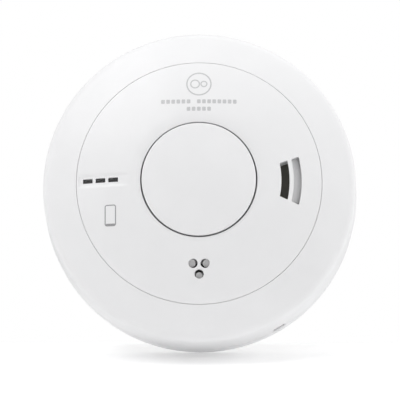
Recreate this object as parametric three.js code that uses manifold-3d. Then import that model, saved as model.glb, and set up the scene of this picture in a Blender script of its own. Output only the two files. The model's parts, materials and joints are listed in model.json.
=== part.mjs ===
// A round, wall-mounted, mains-powered carbon monoxide alarm: a base plate with the mains
// terminals, and an alarm head that slides onto it and plugs into them.
//
// Everything is drawn in the face frame, in millimetres: x to the right, y up, and z straight out
// of the wall, with z = 0 on the wall. The exported group turns that frame so that the wall face
// looks along +Y and up is +Z. Pieces that take part in the sliding fit are drawn in the slide
// frame, which is the face frame turned so that its x points the way the head slides off.

import * as THREE from 'three';
import { mergeVertices } from 'three/addons/utils/BufferGeometryUtils.js';
import Module from 'manifold-3d';

const wasm = await Module();
wasm.setup();

// ---------------------------------------------------------------- driving dimensions

const RADIUS = 70.5; // base plate, the widest part
const DEPTH = 50; // wall to the crown of the test button
const FACE_SPHERE = 140; // the whole front face lies on a sphere of this radius
const WALL = 2.2; // moulded wall thickness
const FIT = 0.3; // gap between pieces that touch
const ROUND = 48; // sides of the large round pieces
const SMALL_ROUND = 14; // sides of the small round pieces

const BASE_HEIGHT = 9; // rim of the base plate
const BASE_FLOOR = 2.4;
const HEAD_BACK = 9.4; // back face of the head
const HEAD_FLOOR = 2; // thickness of the head's rear floor
const HEAD_RADIUS = 70.4; // skirt of the head at its back edge
const SIDE_DRAFT = 0.054; // the skirt narrows by this much for each millimetre forwards
const SHOULDER_RADIUS = 66.2; // the dome ends here and rounds over into the skirt
const CREASE_HEIGHT = 28.9; // the rounding ends here

const SEAM_RADIUS = 53.9; // groove between the fascia and the outer cover
const BUTTON_GAP_RADIUS = 25.2; // groove around the test button
const DIP_START = 31.5; // the fascia dips towards the button from here
const DIP_DEPTH = 0.75;
const BUTTON_TRAVEL = 1;

const SLIDE_ANGLE = 120; // direction of removal, degrees from x in the face frame
const SLIDE_TRAVEL = 14;

const PCB_BOTTOM = 24;
const PCB_TOP = 25.6;
const PCB_RADIUS = 55;
const ON_PCB = PCB_TOP + FIT;
const UNDER_PCB = PCB_BOTTOM - FIT;

// ---------------------------------------------------------------- shape helpers

const radians = THREE.MathUtils.degToRad;
const polar = (radius, degrees) => [radius * Math.cos(radians(degrees)), radius * Math.sin(radians(degrees))];

function toManifold(geometry) {
  const bare = geometry.clone();
  bare.deleteAttribute('normal');
  bare.deleteAttribute('uv');
  const merged = mergeVertices(bare, 1e-4);
  const corners = merged.index.array;
  const triangles = [];
  for (let i = 0; i < corners.length; i += 3) {
    const [a, b, c] = [corners[i], corners[i + 1], corners[i + 2]];
    if (a !== b && b !== c && c !== a) triangles.push(a, b, c);
  }
  const mesh = new wasm.Mesh({
    numProp: 3,
    vertProperties: new Float32Array(merged.attributes.position.array),
    triVerts: new Uint32Array(triangles),
  });
  return new wasm.Manifold(mesh);
}

function toGeometry(manifold) {
  const mesh = manifold.getMesh();
  const geometry = new THREE.BufferGeometry();
  geometry.setAttribute('position', new THREE.BufferAttribute(mesh.vertProperties, 3));
  geometry.setIndex(new THREE.BufferAttribute(mesh.triVerts, 1));
  geometry.computeVertexNormals();
  return geometry;
}

const asSolid = (shape) => (shape.isBufferGeometry ? toManifold(shape) : shape);
const join = (...shapes) => shapes.map(asSolid).reduce((whole, part) => whole.add(part));
const cut = (shape, ...tools) => tools.map(asSolid).reduce((rest, tool) => rest.subtract(tool), asSolid(shape));
const common = (one, other) => asSolid(one).intersect(asSolid(other));

// A box between two limits along each axis.
function box([x0, x1], [y0, y1], [z0, z1]) {
  const geometry = new THREE.BoxGeometry(x1 - x0, y1 - y0, z1 - z0);
  return geometry.translate((x0 + x1) / 2, (y0 + y1) / 2, (z0 + z1) / 2);
}

// A span of the given size centred on a value.
const span = (size, middle = 0) => [middle - size / 2, middle + size / 2];

// An upright round bar.
function rod([x, y], radius, [z0, z1], sides = SMALL_ROUND) {
  const geometry = new THREE.CylinderGeometry(radius, radius, z1 - z0, sides).rotateX(Math.PI / 2);
  return geometry.translate(x, y, (z0 + z1) / 2);
}

// A round bar lying along x or along y.
function barAlongX([x0, x1], [y, z], radius, sides = SMALL_ROUND) {
  const geometry = new THREE.CylinderGeometry(radius, radius, x1 - x0, sides).rotateZ(Math.PI / 2);
  return geometry.translate((x0 + x1) / 2, y, z);
}

function barAlongY([y0, y1], [x, z], radius, sides = SMALL_ROUND) {
  const geometry = new THREE.CylinderGeometry(radius, radius, y1 - y0, sides);
  return geometry.translate(x, (y0 + y1) / 2, z);
}

// A flat shape raised between two heights.
function plate(shape, [z0, z1]) {
  const settings = { depth: z1 - z0, bevelEnabled: false, curveSegments: 4 };
  return new THREE.ExtrudeGeometry(shape, settings).translate(0, 0, z0);
}

// A rectangle with rounded corners, centred on a point.
function roundedRectangle([x, y], width, height, corner) {
  const [halfWidth, halfHeight] = [width / 2 - corner, height / 2 - corner];
  const shape = new THREE.Shape();
  shape.absarc(x + halfWidth, y + halfHeight, corner, 0, Math.PI / 2);
  shape.absarc(x - halfWidth, y + halfHeight, corner, Math.PI / 2, Math.PI);
  shape.absarc(x - halfWidth, y - halfHeight, corner, Math.PI, Math.PI * 1.5);
  shape.absarc(x + halfWidth, y - halfHeight, corner, Math.PI * 1.5, Math.PI * 2);
  return shape;
}

// A section of [radius, height] points turned about z. A section that stands clear of the axis is closed.
function turn(section, sides = ROUND, middle = [0, 0]) {
  const points = section.map(([radius, height]) => new THREE.Vector2(radius, height));
  if (points[0].x > 0) points.push(points[0].clone());
  const geometry = new THREE.LatheGeometry(points, sides).rotateX(Math.PI / 2).translate(middle[0], middle[1], 0);
  const solid = toManifold(geometry);
  return solid.volume() > 0 ? solid : toManifold(flipped(geometry));
}

function flipped(geometry) {
  const corners = geometry.index.array;
  for (let i = 0; i < corners.length; i += 3) {
    [corners[i], corners[i + 1]] = [corners[i + 1], corners[i]];
  }
  return geometry;
}

const around = (angles, geometry) => angles.map((angle) => geometry.clone().rotateZ(radians(angle)));
const pathPoints = (path) => path.getPoints(2).map((point) => [point.x, point.y]);

// ---------------------------------------------------------------- the face's curve

// Height of the front face, or of the surface that lies "inset" below it.
const faceHeight = (radius, inset = 0) =>
  DEPTH - FACE_SPHERE + Math.sqrt((FACE_SPHERE - inset) ** 2 - radius ** 2);

// Adds to a section path the stretch of the face's curve, "inset" below it, between two radii.
function followFace(path, from, to, inset = 0) {
  const sphere = FACE_SPHERE - inset;
  const [start, end] = [Math.acos(from / sphere), Math.acos(to / sphere)];
  path.absarc(0, DEPTH - FACE_SPHERE, sphere, start, end, to > from);
}

// Everything that lies deeper than "inset" below the face.
function underFace(inset) {
  const path = new THREE.Path().moveTo(0, 0).lineTo(SHOULDER_RADIUS, 0);
  followFace(path, SHOULDER_RADIUS, 0, inset);
  return turn(pathPoints(path));
}

// ---------------------------------------------------------------- outer cover

const LEDGE_INSET = WALL + FIT; // the fascia rests on a ledge this far below the face
const LEDGE_RADIUS = 51.3;
const HOUSING_SCREW_RADIUS = 61;
const HOUSING_SCREW_ANGLES = [0, 120, 240];
const COVER_BOSS_BOTTOM = 14.9;
const RELEASE_SLOT = { width: 5.5, top: 14.9 };

const sideRadius = (height) => HEAD_RADIUS - SIDE_DRAFT * (height - HEAD_BACK);

// Where the dome's tangent at the shoulder meets the side wall.
function shoulderCorner() {
  const startHeight = faceHeight(SHOULDER_RADIUS);
  const slope = SHOULDER_RADIUS / (startHeight - DEPTH + FACE_SPHERE);
  const run = sideRadius(0) - SHOULDER_RADIUS;
  const height = (startHeight - slope * run) / (1 - slope * SIDE_DRAFT);
  return [sideRadius(height), height];
}

// The release slot is a notch in the back edge of the skirt, opposite the way the head slides off.
const releaseNotch = ([from, to]) =>
  box([-to, -from], span(RELEASE_SLOT.width), [HEAD_BACK - 1, RELEASE_SLOT.top]);

function outerCover() {
  const rimRadius = SEAM_RADIUS + FIT / 2;
  const path = new THREE.Path().moveTo(rimRadius, faceHeight(rimRadius, LEDGE_INSET));
  path.lineTo(rimRadius, faceHeight(rimRadius));
  followFace(path, rimRadius, SHOULDER_RADIUS);
  path.quadraticCurveTo(...shoulderCorner(), sideRadius(CREASE_HEIGHT), CREASE_HEIGHT);
  path.lineTo(HEAD_RADIUS, HEAD_BACK);
  path.lineTo(HEAD_RADIUS - WALL, HEAD_BACK);
  path.lineTo(sideRadius(CREASE_HEIGHT) - WALL, CREASE_HEIGHT - WALL);
  path.lineTo(SHOULDER_RADIUS - WALL, faceHeight(SHOULDER_RADIUS - WALL, WALL));
  path.lineTo(SEAM_RADIUS + WALL, faceHeight(SEAM_RADIUS + WALL, WALL));
  path.lineTo(SEAM_RADIUS, faceHeight(SEAM_RADIUS, LEDGE_INSET + WALL));
  path.lineTo(LEDGE_RADIUS, faceHeight(LEDGE_RADIUS, LEDGE_INSET + WALL));
  path.lineTo(LEDGE_RADIUS, faceHeight(LEDGE_RADIUS, LEDGE_INSET));
  const shell = turn(pathPoints(path));
  const place = polar(HOUSING_SCREW_RADIUS, 0);
  const boss = common(rod(place, 3.4, [COVER_BOSS_BOTTOM, DEPTH]), underFace(WALL / 2));
  const bosses = around(HOUSING_SCREW_ANGLES, toGeometry(boss));
  const pilotHoles = around(HOUSING_SCREW_ANGLES, rod(place, 1.6, [COVER_BOSS_BOTTOM - 1, 27]));
  const notch = around([SLIDE_ANGLE], releaseNotch([60, RADIUS + 2]));
  return cut(join(shell, ...bosses), ...pilotHoles, ...notch);
}

// ---------------------------------------------------------------- fascia

const COLLAR_BOTTOM = 38; // a collar with an inward flange guides the test button
const COLLAR_FLANGE = 1.5;
const FLANGE_RADIUS = 20.4;
const FASCIA_CLIP_ANGLES = [45, 135, 225, 315];

const GAS_HOLE_RADIUS = 2;
const GAS_HOLE_SPACING = 5.2; // three holes on an equilateral triangle, two above and one below
const GAS_CENTRE = [0.1, -38.2];
const gasHoleCentres = [30, 150, 270].map((angle) => {
  const [x, y] = polar(GAS_HOLE_SPACING / Math.sqrt(3), angle);
  return [GAS_CENTRE[0] + x, GAS_CENTRE[1] + y];
});

const INDICATORS = ['power', 'fault', 'alarm'];
const INDICATOR_SPACING = 5.65;
const INDICATOR_MIDDLE = [-43.1, 0.3];
const INDICATOR_SLOT = [4.3, 1.95];
const indicatorX = (index) => INDICATOR_MIDDLE[0] + (index - 1) * INDICATOR_SPACING;

// The sounder's two windows are arcs around the button, with ends on rays from a point beside it.
const WINDOW_RAY_ORIGIN = 17;
const WINDOW_RAY_SLOPE = 0.402;
const SOUNDER_WINDOWS = [
  [36, 39.6],
  [41.45, 44.9],
];
const END_WALL = { from: 35.2, to: 40.6, thickness: 1.2 };

// The point of a window's end, above (1) or below (-1), that is this far from the button's middle.
function windowEnd(radius, side) {
  const [origin, slope] = [WINDOW_RAY_ORIGIN, WINDOW_RAY_SLOPE];
  const square = 1 + slope ** 2;
  const run = (-origin + Math.sqrt(origin ** 2 - square * (origin ** 2 - radius ** 2))) / square;
  return [origin + run, side * slope * run];
}

function windowShape([inner, outer]) {
  const corner = (radius, side) => {
    const [x, y] = windowEnd(radius, side);
    return Math.atan2(y, x);
  };
  const shape = new THREE.Shape();
  shape.absarc(0, 0, outer, corner(outer, -1), corner(outer, 1));
  shape.absarc(0, 0, inner, corner(inner, 1), corner(inner, -1), true);
  return shape;
}

// A wall behind each end of the inner window reaches down to the sounder and keeps its sound in.
function windowEndWall(side) {
  const [nearX, nearY] = windowEnd(END_WALL.from, side);
  const [farX, farY] = windowEnd(END_WALL.to, side);
  const shape = new THREE.Shape().moveTo(nearX, nearY).lineTo(farX, farY);
  shape.lineTo(farX, farY + side * END_WALL.thickness);
  shape.lineTo(nearX, nearY + side * END_WALL.thickness);
  return common(plate(shape, [SOUNDER_LID_TOP + FIT, DEPTH]), underFace(WALL / 2));
}

function fascia() {
  const outerRadius = SEAM_RADIUS - FIT / 2;
  const innerRadius = BUTTON_GAP_RADIUS + FIT;
  const path = new THREE.Path().moveTo(FLANGE_RADIUS, COLLAR_BOTTOM);
  path.lineTo(innerRadius + WALL, COLLAR_BOTTOM);
  followFace(path, innerRadius + WALL, outerRadius, WALL);
  followFace(path, outerRadius, DIP_START);
  const bend = (DIP_START + innerRadius) / 2;
  path.quadraticCurveTo(bend, faceHeight(bend), innerRadius, faceHeight(innerRadius) - DIP_DEPTH);
  path.lineTo(innerRadius, COLLAR_BOTTOM + COLLAR_FLANGE);
  path.lineTo(FLANGE_RADIUS, COLLAR_BOTTOM + COLLAR_FLANGE);
  const disc = turn(pathPoints(path));
  const clipLeg = box([LEDGE_RADIUS - 2.4, LEDGE_RADIUS - 0.5], span(6), [32.8, 39.5]);
  const clipBarb = box([LEDGE_RADIUS - 2, LEDGE_RADIUS + 1], span(6), [32.8, 34.3]);
  const clips = around(FASCIA_CLIP_ANGLES, toGeometry(join(clipLeg, clipBarb)));
  const endWalls = [1, -1].map(windowEndWall);
  const through = [SOUNDER_LID_TOP, DEPTH];
  const gasHoles = gasHoleCentres.map((place) => rod(place, GAS_HOLE_RADIUS, through));
  const [slotWidth, slotHeight] = INDICATOR_SLOT;
  const slots = INDICATORS.map((_, index) =>
    box(span(slotWidth, indicatorX(index)), span(slotHeight, INDICATOR_MIDDLE[1]), through));
  const windows = SOUNDER_WINDOWS.map((radii) => plate(windowShape(radii), through));
  return cut(join(disc, ...clips, ...endWalls), ...gasHoles, ...slots, ...windows);
}

// ---------------------------------------------------------------- test button and its switch

const BUTTON_RADIUS = BUTTON_GAP_RADIUS - FIT;
const BUTTON_EDGE = 0.5;
const BUTTON_SKIRT_BOTTOM = COLLAR_BOTTOM + COLLAR_FLANGE + BUTTON_TRAVEL + 0.9;
const BUTTON_LEG_ANGLES = [60, 180, 300];
const SWITCH_TOP = 30.4;
const PLUNGER_TOP = 31.6;

function testButton() {
  const innerRadius = BUTTON_RADIUS - 1.8;
  const path = new THREE.Path().moveTo(0, DEPTH);
  followFace(path, 0, BUTTON_RADIUS - BUTTON_EDGE);
  path.lineTo(BUTTON_RADIUS, faceHeight(BUTTON_RADIUS) - BUTTON_EDGE);
  path.lineTo(BUTTON_RADIUS, BUTTON_SKIRT_BOTTOM);
  path.lineTo(innerRadius, BUTTON_SKIRT_BOTTOM);
  followFace(path, innerRadius, 0, WALL);
  const cap = turn(pathPoints(path));
  const legFoot = COLLAR_BOTTOM - FIT;
  const leg = box([FLANGE_RADIUS - 1.9, FLANGE_RADIUS - 0.4], span(5), [legFoot - 1.3, 47]);
  const barb = box([FLANGE_RADIUS - 1.9, FLANGE_RADIUS + 1], span(5), [legFoot - 1.3, legFoot]);
  const legs = around(BUTTON_LEG_ANGLES, toGeometry(join(leg, barb)));
  const post = rod([0, 0], 3, [PLUNGER_TOP + FIT, 48]);
  return join(cap, ...legs, post);
}

function testSwitchBody() {
  const body = box(span(8), span(8), [ON_PCB, SWITCH_TOP]);
  return cut(body, rod([0, 0], 2.1, [ON_PCB + 0.6, SWITCH_TOP + 1]));
}

function testSwitchPlunger() {
  return rod([0, 0], 1.75, [ON_PCB + 0.6 + BUTTON_TRAVEL + FIT, PLUNGER_TOP]);
}

// ---------------------------------------------------------------- base plate (slide frame)

const HOOK_POSTS = [
  [30, 30],
  [30, -30],
  [-30, 30],
  [-30, -30],
];
const HOOK_WIDTH = 8;
const HOOK_POST = 2;
const HOOK_REACH = 9;
const HOOK_LIP = [HEAD_BACK + HEAD_FLOOR + 0.35, HEAD_BACK + HEAD_FLOOR + 2.1];

const CABLE_ENTRY = { middle: [-27, 0], width: 24, height: 28, corner: 3 };
const WALL_SCREW_SLOTS = [44, -44];
const WALL_SCREW_SLOT = { width: 4.6, length: 12 };

const BLOCK_X = [-11, 11]; // terminal block along the slide direction
const BLOCK_TOP = 16.2;
const BLOCK_HALF_WIDTH = 15.4;
const BLOCK_FLANGE_HALF_WIDTH = 17;
const BLOCK_FLANGE_TOP = 6;
const BLOCK_BOTTOM = BASE_FLOOR + FIT;

const CATCH_PIVOT = { x: -46, height: 5.5, radius: 2.5 };
const CATCH_HALF_LENGTH = 5.2;

function hook([x, y]) {
  const post = box([x - HOOK_POST, x], span(HOOK_WIDTH, y), [BASE_FLOOR / 2, HOOK_LIP[1]]);
  const lip = box([x - HOOK_POST, x + HOOK_REACH], span(HOOK_WIDTH, y), HOOK_LIP);
  return join(post, lip);
}

// A springy upright on each side of the terminal block, with a nib over the block's flange.
function blockClip(side) {
  const ySpan = (near, far) => (side > 0 ? [near, far] : [-far, -near]);
  const outside = BLOCK_FLANGE_HALF_WIDTH + FIT;
  const top = BLOCK_FLANGE_TOP + FIT + 1.4;
  const upright = box(span(8), ySpan(outside, outside + 1.3), [BASE_FLOOR / 2, top]);
  const nib = box(span(8), ySpan(BLOCK_HALF_WIDTH + FIT, outside + 0.5), [BLOCK_FLANGE_TOP + FIT, top]);
  return join(upright, nib);
}

// An open-topped bearing for the catch's barrel, open towards the rim for the catch's arm.
function catchCradle() {
  const { x, height, radius } = CATCH_PIVOT;
  const block = box(span(8.4, x), span(2 * CATCH_HALF_LENGTH + 3.6), [BASE_FLOOR / 2, 8.2]);
  const inside = span(2 * (CATCH_HALF_LENGTH + FIT));
  const bearing = barAlongY(inside, [x, height], radius + FIT);
  const mouth = box(span(2 * radius - 0.4, x), inside, [height, 9]);
  const armWay = box([x - 6, x], span(7.8), [3.1, 9]);
  return cut(block, bearing, mouth, armWay);
}

function basePlate() {
  const dish = turn([
    [0, 0],
    [RADIUS, 0],
    [RADIUS, BASE_HEIGHT - 0.4],
    [RADIUS - 0.4, BASE_HEIGHT],
    [RADIUS - WALL, BASE_HEIGHT],
    [RADIUS - WALL, BASE_FLOOR],
    [0, BASE_FLOOR],
  ]);
  const floor = [-1, BASE_FLOOR + 1];
  const entry = roundedRectangle(CABLE_ENTRY.middle, CABLE_ENTRY.width, CABLE_ENTRY.height, CABLE_ENTRY.corner);
  const { width, length } = WALL_SCREW_SLOT;
  const slots = WALL_SCREW_SLOTS.map((y) =>
    plate(roundedRectangle([0, y], width, length, width / 2 - 0.01), floor));
  const opened = cut(dish, plate(entry, floor), ...slots);
  return join(opened, ...HOOK_POSTS.map(hook), blockClip(1), blockClip(-1), catchCradle());
}

// ---------------------------------------------------------------- release catch (slide frame)

const CATCH_NOSE = { outer: -65.8, inner: -61, halfWidth: 2.4, top: RELEASE_SLOT.top - 0.6 };
const CATCH_RIB_PITCH = 1.05; // ribs on the nose that a fingernail pushes on
const CATCH_RIB_END = -69.8; // they reach out over the base plate's rim
const CATCH_RIB_BOTTOM = BASE_HEIGHT + 2.3; // and stay clear of it when the catch is pushed down
const CATCH_ARM = [4.6, 6.4];

function releaseCatch() {
  const { x, height, radius } = CATCH_PIVOT;
  const barrel = barAlongY(span(2 * CATCH_HALF_LENGTH), [x, height], radius);
  const arm = box([CATCH_NOSE.outer - 0.8, x], span(6.8), CATCH_ARM);
  const noseZ = [CATCH_ARM[0], CATCH_NOSE.top];
  const nose = box([CATCH_NOSE.outer, CATCH_NOSE.inner], span(2 * CATCH_NOSE.halfWidth), noseZ);
  const ribs = [-2, -1, 0, 1, 2].map((step) =>
    box([CATCH_RIB_END, CATCH_NOSE.outer + 0.5], span(0.5, step * CATCH_RIB_PITCH), [
      CATCH_RIB_BOTTOM,
      CATCH_NOSE.top - 0.3,
    ]));
  return join(barrel, arm, nose, ...ribs);
}

// ---------------------------------------------------------------- mains terminals (slide frame)

const TERMINALS = [
  ['live', 9.6],
  ['neutral', 0],
  ['interconnect', -9.6],
];
const TERMINAL_HALF_WIDTH = 3;
const TERMINAL_TOP = 14.3;
const TERMINAL_SCREW_X = -5;
const TERMINAL_WIRE_HEIGHT = 8.5;
const BLADE = { tip: 2, tail: 19, thickness: 0.8, width: 3, height: 12.8 };
const TERMINAL_X = [-9.4, 9.4];

function terminalBlock() {
  const body = box(BLOCK_X, span(2 * BLOCK_HALF_WIDTH), [BLOCK_BOTTOM, BLOCK_TOP]);
  const flange = box(BLOCK_X, span(2 * BLOCK_FLANGE_HALF_WIDTH), [BLOCK_BOTTOM, BLOCK_FLANGE_TOP]);
  const openings = TERMINALS.flatMap(([, y]) => [
    box(span(2 * (TERMINAL_X[1] + FIT)), span(2 * (TERMINAL_HALF_WIDTH + FIT), y), [
      BLOCK_BOTTOM - 1,
      TERMINAL_TOP + FIT,
    ]),
    rod([TERMINAL_SCREW_X, y], 2.7, [TERMINAL_TOP, BLOCK_TOP + 1]),
    barAlongX([BLOCK_X[0] - 1, 0], [y, TERMINAL_WIRE_HEIGHT], 2.3),
    box([0, BLOCK_X[1] + 1], span(BLADE.width + 1, y), span(BLADE.thickness + 1, BLADE.height)),
  ]);
  return cut(join(body, flange), ...openings);
}

// One brass terminal: a clamp for the wire at the back and a socket for the blade at the front.
function terminal(y) {
  const clamp = box([TERMINAL_X[0], 0], span(2 * TERMINAL_HALF_WIDTH, y), [5, TERMINAL_TOP]);
  const socket = box([-1, TERMINAL_X[1]], span(2 * TERMINAL_HALF_WIDTH, y), [11, TERMINAL_TOP]);
  const wireHole = barAlongX([TERMINAL_X[0] - 1, -2.5], [y, TERMINAL_WIRE_HEIGHT], 1.9);
  const screwHole = rod([TERMINAL_SCREW_X, y], 1.8, [TERMINAL_WIRE_HEIGHT, TERMINAL_TOP + 1]);
  const bladeSlot = box(
    [BLADE.tip - 1.5, TERMINAL_X[1] + 1],
    span(BLADE.width + 0.8, y),
    span(BLADE.thickness + 0.7, BLADE.height),
  );
  return cut(join(clamp, socket), wireHole, screwHole, bladeSlot);
}

function slottedScrew([x, y], { shank, shankZ, head, headZ, slot }) {
  const whole = join(rod([x, y], shank, shankZ), rod([x, y], head, headZ));
  const [low, high] = headZ;
  const slotFloor = slot > 0 ? [high - 0.7, high + 1] : [low - 1, low + 0.7];
  return cut(whole, box(span(3 * head, x), span(0.8, y), slotFloor));
}

function terminalScrew(y) {
  const size = { shank: 1.45, shankZ: [9, 15], head: 2.3, headZ: [TERMINAL_TOP + FIT, 16.1], slot: 1 };
  return slottedScrew([TERMINAL_SCREW_X, y], size);
}

// A hood that clips over the terminal block, open at the back for the mains wires.
function terminalCover() {
  const back = BLOCK_X[0] - FIT;
  const top = [BLOCK_TOP + FIT, BLOCK_TOP + FIT + 1.2];
  const side = BLOCK_HALF_WIDTH + FIT;
  const lid = box([back - 1.4, 8], span(2 * side), top);
  const backWall = box([back - 1.4, back], span(2 * side), [11.5, top[1]]);
  const cheeks = [
    box([back - 1.4, 2], [side, side + 1.2], [8.2, top[1]]),
    box([back - 1.4, 2], [-side - 1.2, -side], [8.2, top[1]]),
  ];
  return join(lid, backWall, ...cheeks);
}

// A flat contact blade that turns up into the circuit board.
function blade(y) {
  const contact = box([BLADE.tip, BLADE.tail], span(BLADE.width, y), span(BLADE.thickness, BLADE.height));
  const tail = box([BLADE.tail - BLADE.thickness, BLADE.tail], span(BLADE.width, y), [
    BLADE.height - BLADE.thickness / 2,
    PCB_TOP + 1,
  ]);
  return join(contact, tail);
}

// ---------------------------------------------------------------- rear housing (slide frame)

const POCKET_X = [-27.5, 14]; // clears the terminal block over the whole slide
const POCKET_HALF_WIDTH = 19;
const POCKET_TOP = 18.2;
const POCKET_WALL = 1.6;
const HOUSING_WALL = [64.9, 66.7];
const HOUSING_WALL_TOP = 20;
const PCB_SCREW_RADIUS = 51;
const PCB_SCREW_ANGLES = [20, 130, 270];
const HOUSING_SCREW_SEAT = 12.7;

function rearHousing() {
  const floorTop = HEAD_BACK + HEAD_FLOOR;
  const tray = turn([
    [0, HEAD_BACK],
    [HOUSING_WALL[1], HEAD_BACK],
    [HOUSING_WALL[1], HOUSING_WALL_TOP],
    [HOUSING_WALL[0], HOUSING_WALL_TOP],
    [HOUSING_WALL[0], floorTop],
    [0, floorTop],
  ]);
  const outside = ([low, high]) => [low - POCKET_WALL, high + POCKET_WALL];
  const pocketY = span(2 * POCKET_HALF_WIDTH);
  const pocketShell = box(outside(POCKET_X), outside(pocketY), [HEAD_BACK, POCKET_TOP + POCKET_WALL]);
  const boardPosts = PCB_SCREW_ANGLES.map((angle) =>
    rod(polar(PCB_SCREW_RADIUS, angle), 2.8, [HEAD_BACK + 1, UNDER_PCB]));
  const screwSeats = HOUSING_SCREW_ANGLES.map((angle) =>
    rod(polar(HOUSING_SCREW_RADIUS, angle), 4.4, [HEAD_BACK, COVER_BOSS_BOTTOM - FIT]));
  const openings = [
    box(POCKET_X, pocketY, [HEAD_BACK - 1, POCKET_TOP]),
    ...HOOK_POSTS.map(([x, y]) =>
      box([x - HOOK_POST - SLIDE_TRAVEL - 0.6, x + 0.4], span(HOOK_WIDTH + 1, y), [HEAD_BACK - 1, floorTop + 1])),
    ...TERMINALS.map(([, y]) =>
      box([POCKET_X[1] - 1, POCKET_X[1] + 3], span(BLADE.width + 0.7, y), span(1.5, BLADE.height))),
    ...PCB_SCREW_ANGLES.map((angle) => rod(polar(PCB_SCREW_RADIUS, angle), 1.5, [14, PCB_BOTTOM])),
    ...HOUSING_SCREW_ANGLES.map((angle) => rod(polar(HOUSING_SCREW_RADIUS, angle), 1.6, [HEAD_BACK, 20])),
    ...HOUSING_SCREW_ANGLES.map((angle) =>
      rod(polar(HOUSING_SCREW_RADIUS, angle), 3.2, [HEAD_BACK - 1, HOUSING_SCREW_SEAT])),
    releaseNotch([60, RADIUS]),
  ];
  return cut(join(tray, pocketShell, ...boardPosts, ...screwSeats), ...openings);
}

function housingScrew(angle) {
  const headZ = [HOUSING_SCREW_SEAT - FIT - 2, HOUSING_SCREW_SEAT - FIT];
  const size = { shank: 1.25, shankZ: [headZ[1] - 1, 25], head: 2.8, headZ, slot: -1 };
  return slottedScrew(polar(HOUSING_SCREW_RADIUS, angle), size);
}

// ---------------------------------------------------------------- circuit board (slide frame)

function mainPcb() {
  const board = turn([
    [0, PCB_BOTTOM],
    [PCB_RADIUS, PCB_BOTTOM],
    [PCB_RADIUS, PCB_TOP],
    [0, PCB_TOP],
  ]);
  const through = [PCB_BOTTOM - 1, PCB_TOP + 1];
  const tailX = span(BLADE.thickness + 0.7, BLADE.tail - BLADE.thickness / 2);
  const bladeSlots = TERMINALS.map(([, y]) => box(tailX, span(BLADE.width + 0.7, y), through));
  const screwHoles = PCB_SCREW_ANGLES.map((angle) => rod(polar(PCB_SCREW_RADIUS, angle), 1.6, through));
  return cut(board, ...bladeSlots, ...screwHoles);
}

function pcbScrew(angle) {
  const size = { shank: 1.2, shankZ: [16, ON_PCB + 1], head: 2.6, headZ: [ON_PCB, ON_PCB + 1.7], slot: 1 };
  return slottedScrew(polar(PCB_SCREW_RADIUS, angle), size);
}

// Mains-side parts hang under the board, clear of the pocket and of the hooks.
function filmCapacitor() {
  return box(span(8.4, 33), span(18), [UNDER_PCB - 9, UNDER_PCB]);
}

function smoothingCapacitor(x) {
  const [bottom, top] = [UNDER_PCB - 9.2, UNDER_PCB];
  const section = [
    [0, bottom],
    [3.6, bottom],
    [4, bottom + 0.4],
    [4, top - 1.6],
    [3.7, top - 1.3],
    [4, top - 1],
    [4, top],
    [0, top],
  ];
  return turn(section, SMALL_ROUND, [x, 34]);
}

function filterChoke() {
  const [bottom, top] = [UNDER_PCB - 8.6, UNDER_PCB];
  const section = [
    [0, bottom],
    [5.2, bottom],
    [5.2, bottom + 1.2],
    [4.3, bottom + 1.2],
    [4.3, top - 1.2],
    [5.2, top - 1.2],
    [5.2, top],
    [0, top],
  ];
  return turn(section, SMALL_ROUND, [-2, -34]);
}

function fuseResistor() {
  const [x, middle, height] = [27, -27, 19.4];
  const body = barAlongY(span(9, middle), [x, height], 2);
  const wire = barAlongY(span(13, middle), [x, height], 0.4, 8);
  const leads = [middle - 6.5, middle + 6.5].map((y) => rod([x, y], 0.4, [height - 0.4, UNDER_PCB], 8));
  return join(body, wire, ...leads);
}

function surgeVaristor() {
  const [x, y, height] = [31, 25, 18.6];
  const disc = barAlongX(span(3.6, x), [y, height], 4.6);
  const leads = [y - 2.5, y + 2.5].map((place) => rod([x, place], 0.4, [height, UNDER_PCB], 8));
  return join(disc, ...leads);
}

// ---------------------------------------------------------------- carbon monoxide sensor

const SENSOR_RADIUS = 10;
const SENSOR_TOP = 36.8;
const SEAL_INSET = WALL + FIT + 0.05; // the seal and the baffle end this far below the face

function coSensor() {
  const section = [
    [0, ON_PCB],
    [SENSOR_RADIUS, ON_PCB],
    [SENSOR_RADIUS, SENSOR_TOP - 1.4],
    [SENSOR_RADIUS - 0.7, SENSOR_TOP - 0.7],
    [SENSOR_RADIUS - 0.7, SENSOR_TOP],
    [0, SENSOR_TOP],
  ];
  const can = turn(section, 24, GAS_CENTRE);
  return cut(can, rod(GAS_CENTRE, 1.2, [SENSOR_TOP - 0.8, SENSOR_TOP + 1]));
}

function sensorGasket() {
  const section = [
    [7.2, SENSOR_TOP + FIT],
    [9.6, SENSOR_TOP + FIT],
    [9.6, DEPTH],
    [7.2, DEPTH],
  ];
  return common(turn(section, 24, GAS_CENTRE), underFace(SEAL_INSET));
}

const BAFFLE_RADIUS = 6.8;
const BAFFLE_HOLE_RADIUS = 2.3;
const BAFFLE_PAD_RADIUS = 1.7;

// Three pads close off the outer half of each gas hole, so that nothing can be poked straight in.
function gasBaffle() {
  const plateZ = [SENSOR_TOP + 0.8, SENSOR_TOP + 1.8];
  const [middleX, middleY] = GAS_CENTRE;
  const hole = rod(GAS_CENTRE, BAFFLE_HOLE_RADIUS, [SENSOR_TOP, plateZ[1] + 1]);
  const disc = cut(rod(GAS_CENTRE, BAFFLE_RADIUS, plateZ, 24), hole);
  const pads = gasHoleCentres.map(([x, y]) => {
    const place = [x + (x - middleX) * 0.2, y + (y - middleY) * 0.2];
    return common(rod(place, BAFFLE_PAD_RADIUS, [plateZ[0], DEPTH]), underFace(SEAL_INSET));
  });
  return join(disc, ...pads);
}

// ---------------------------------------------------------------- sounder

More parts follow.
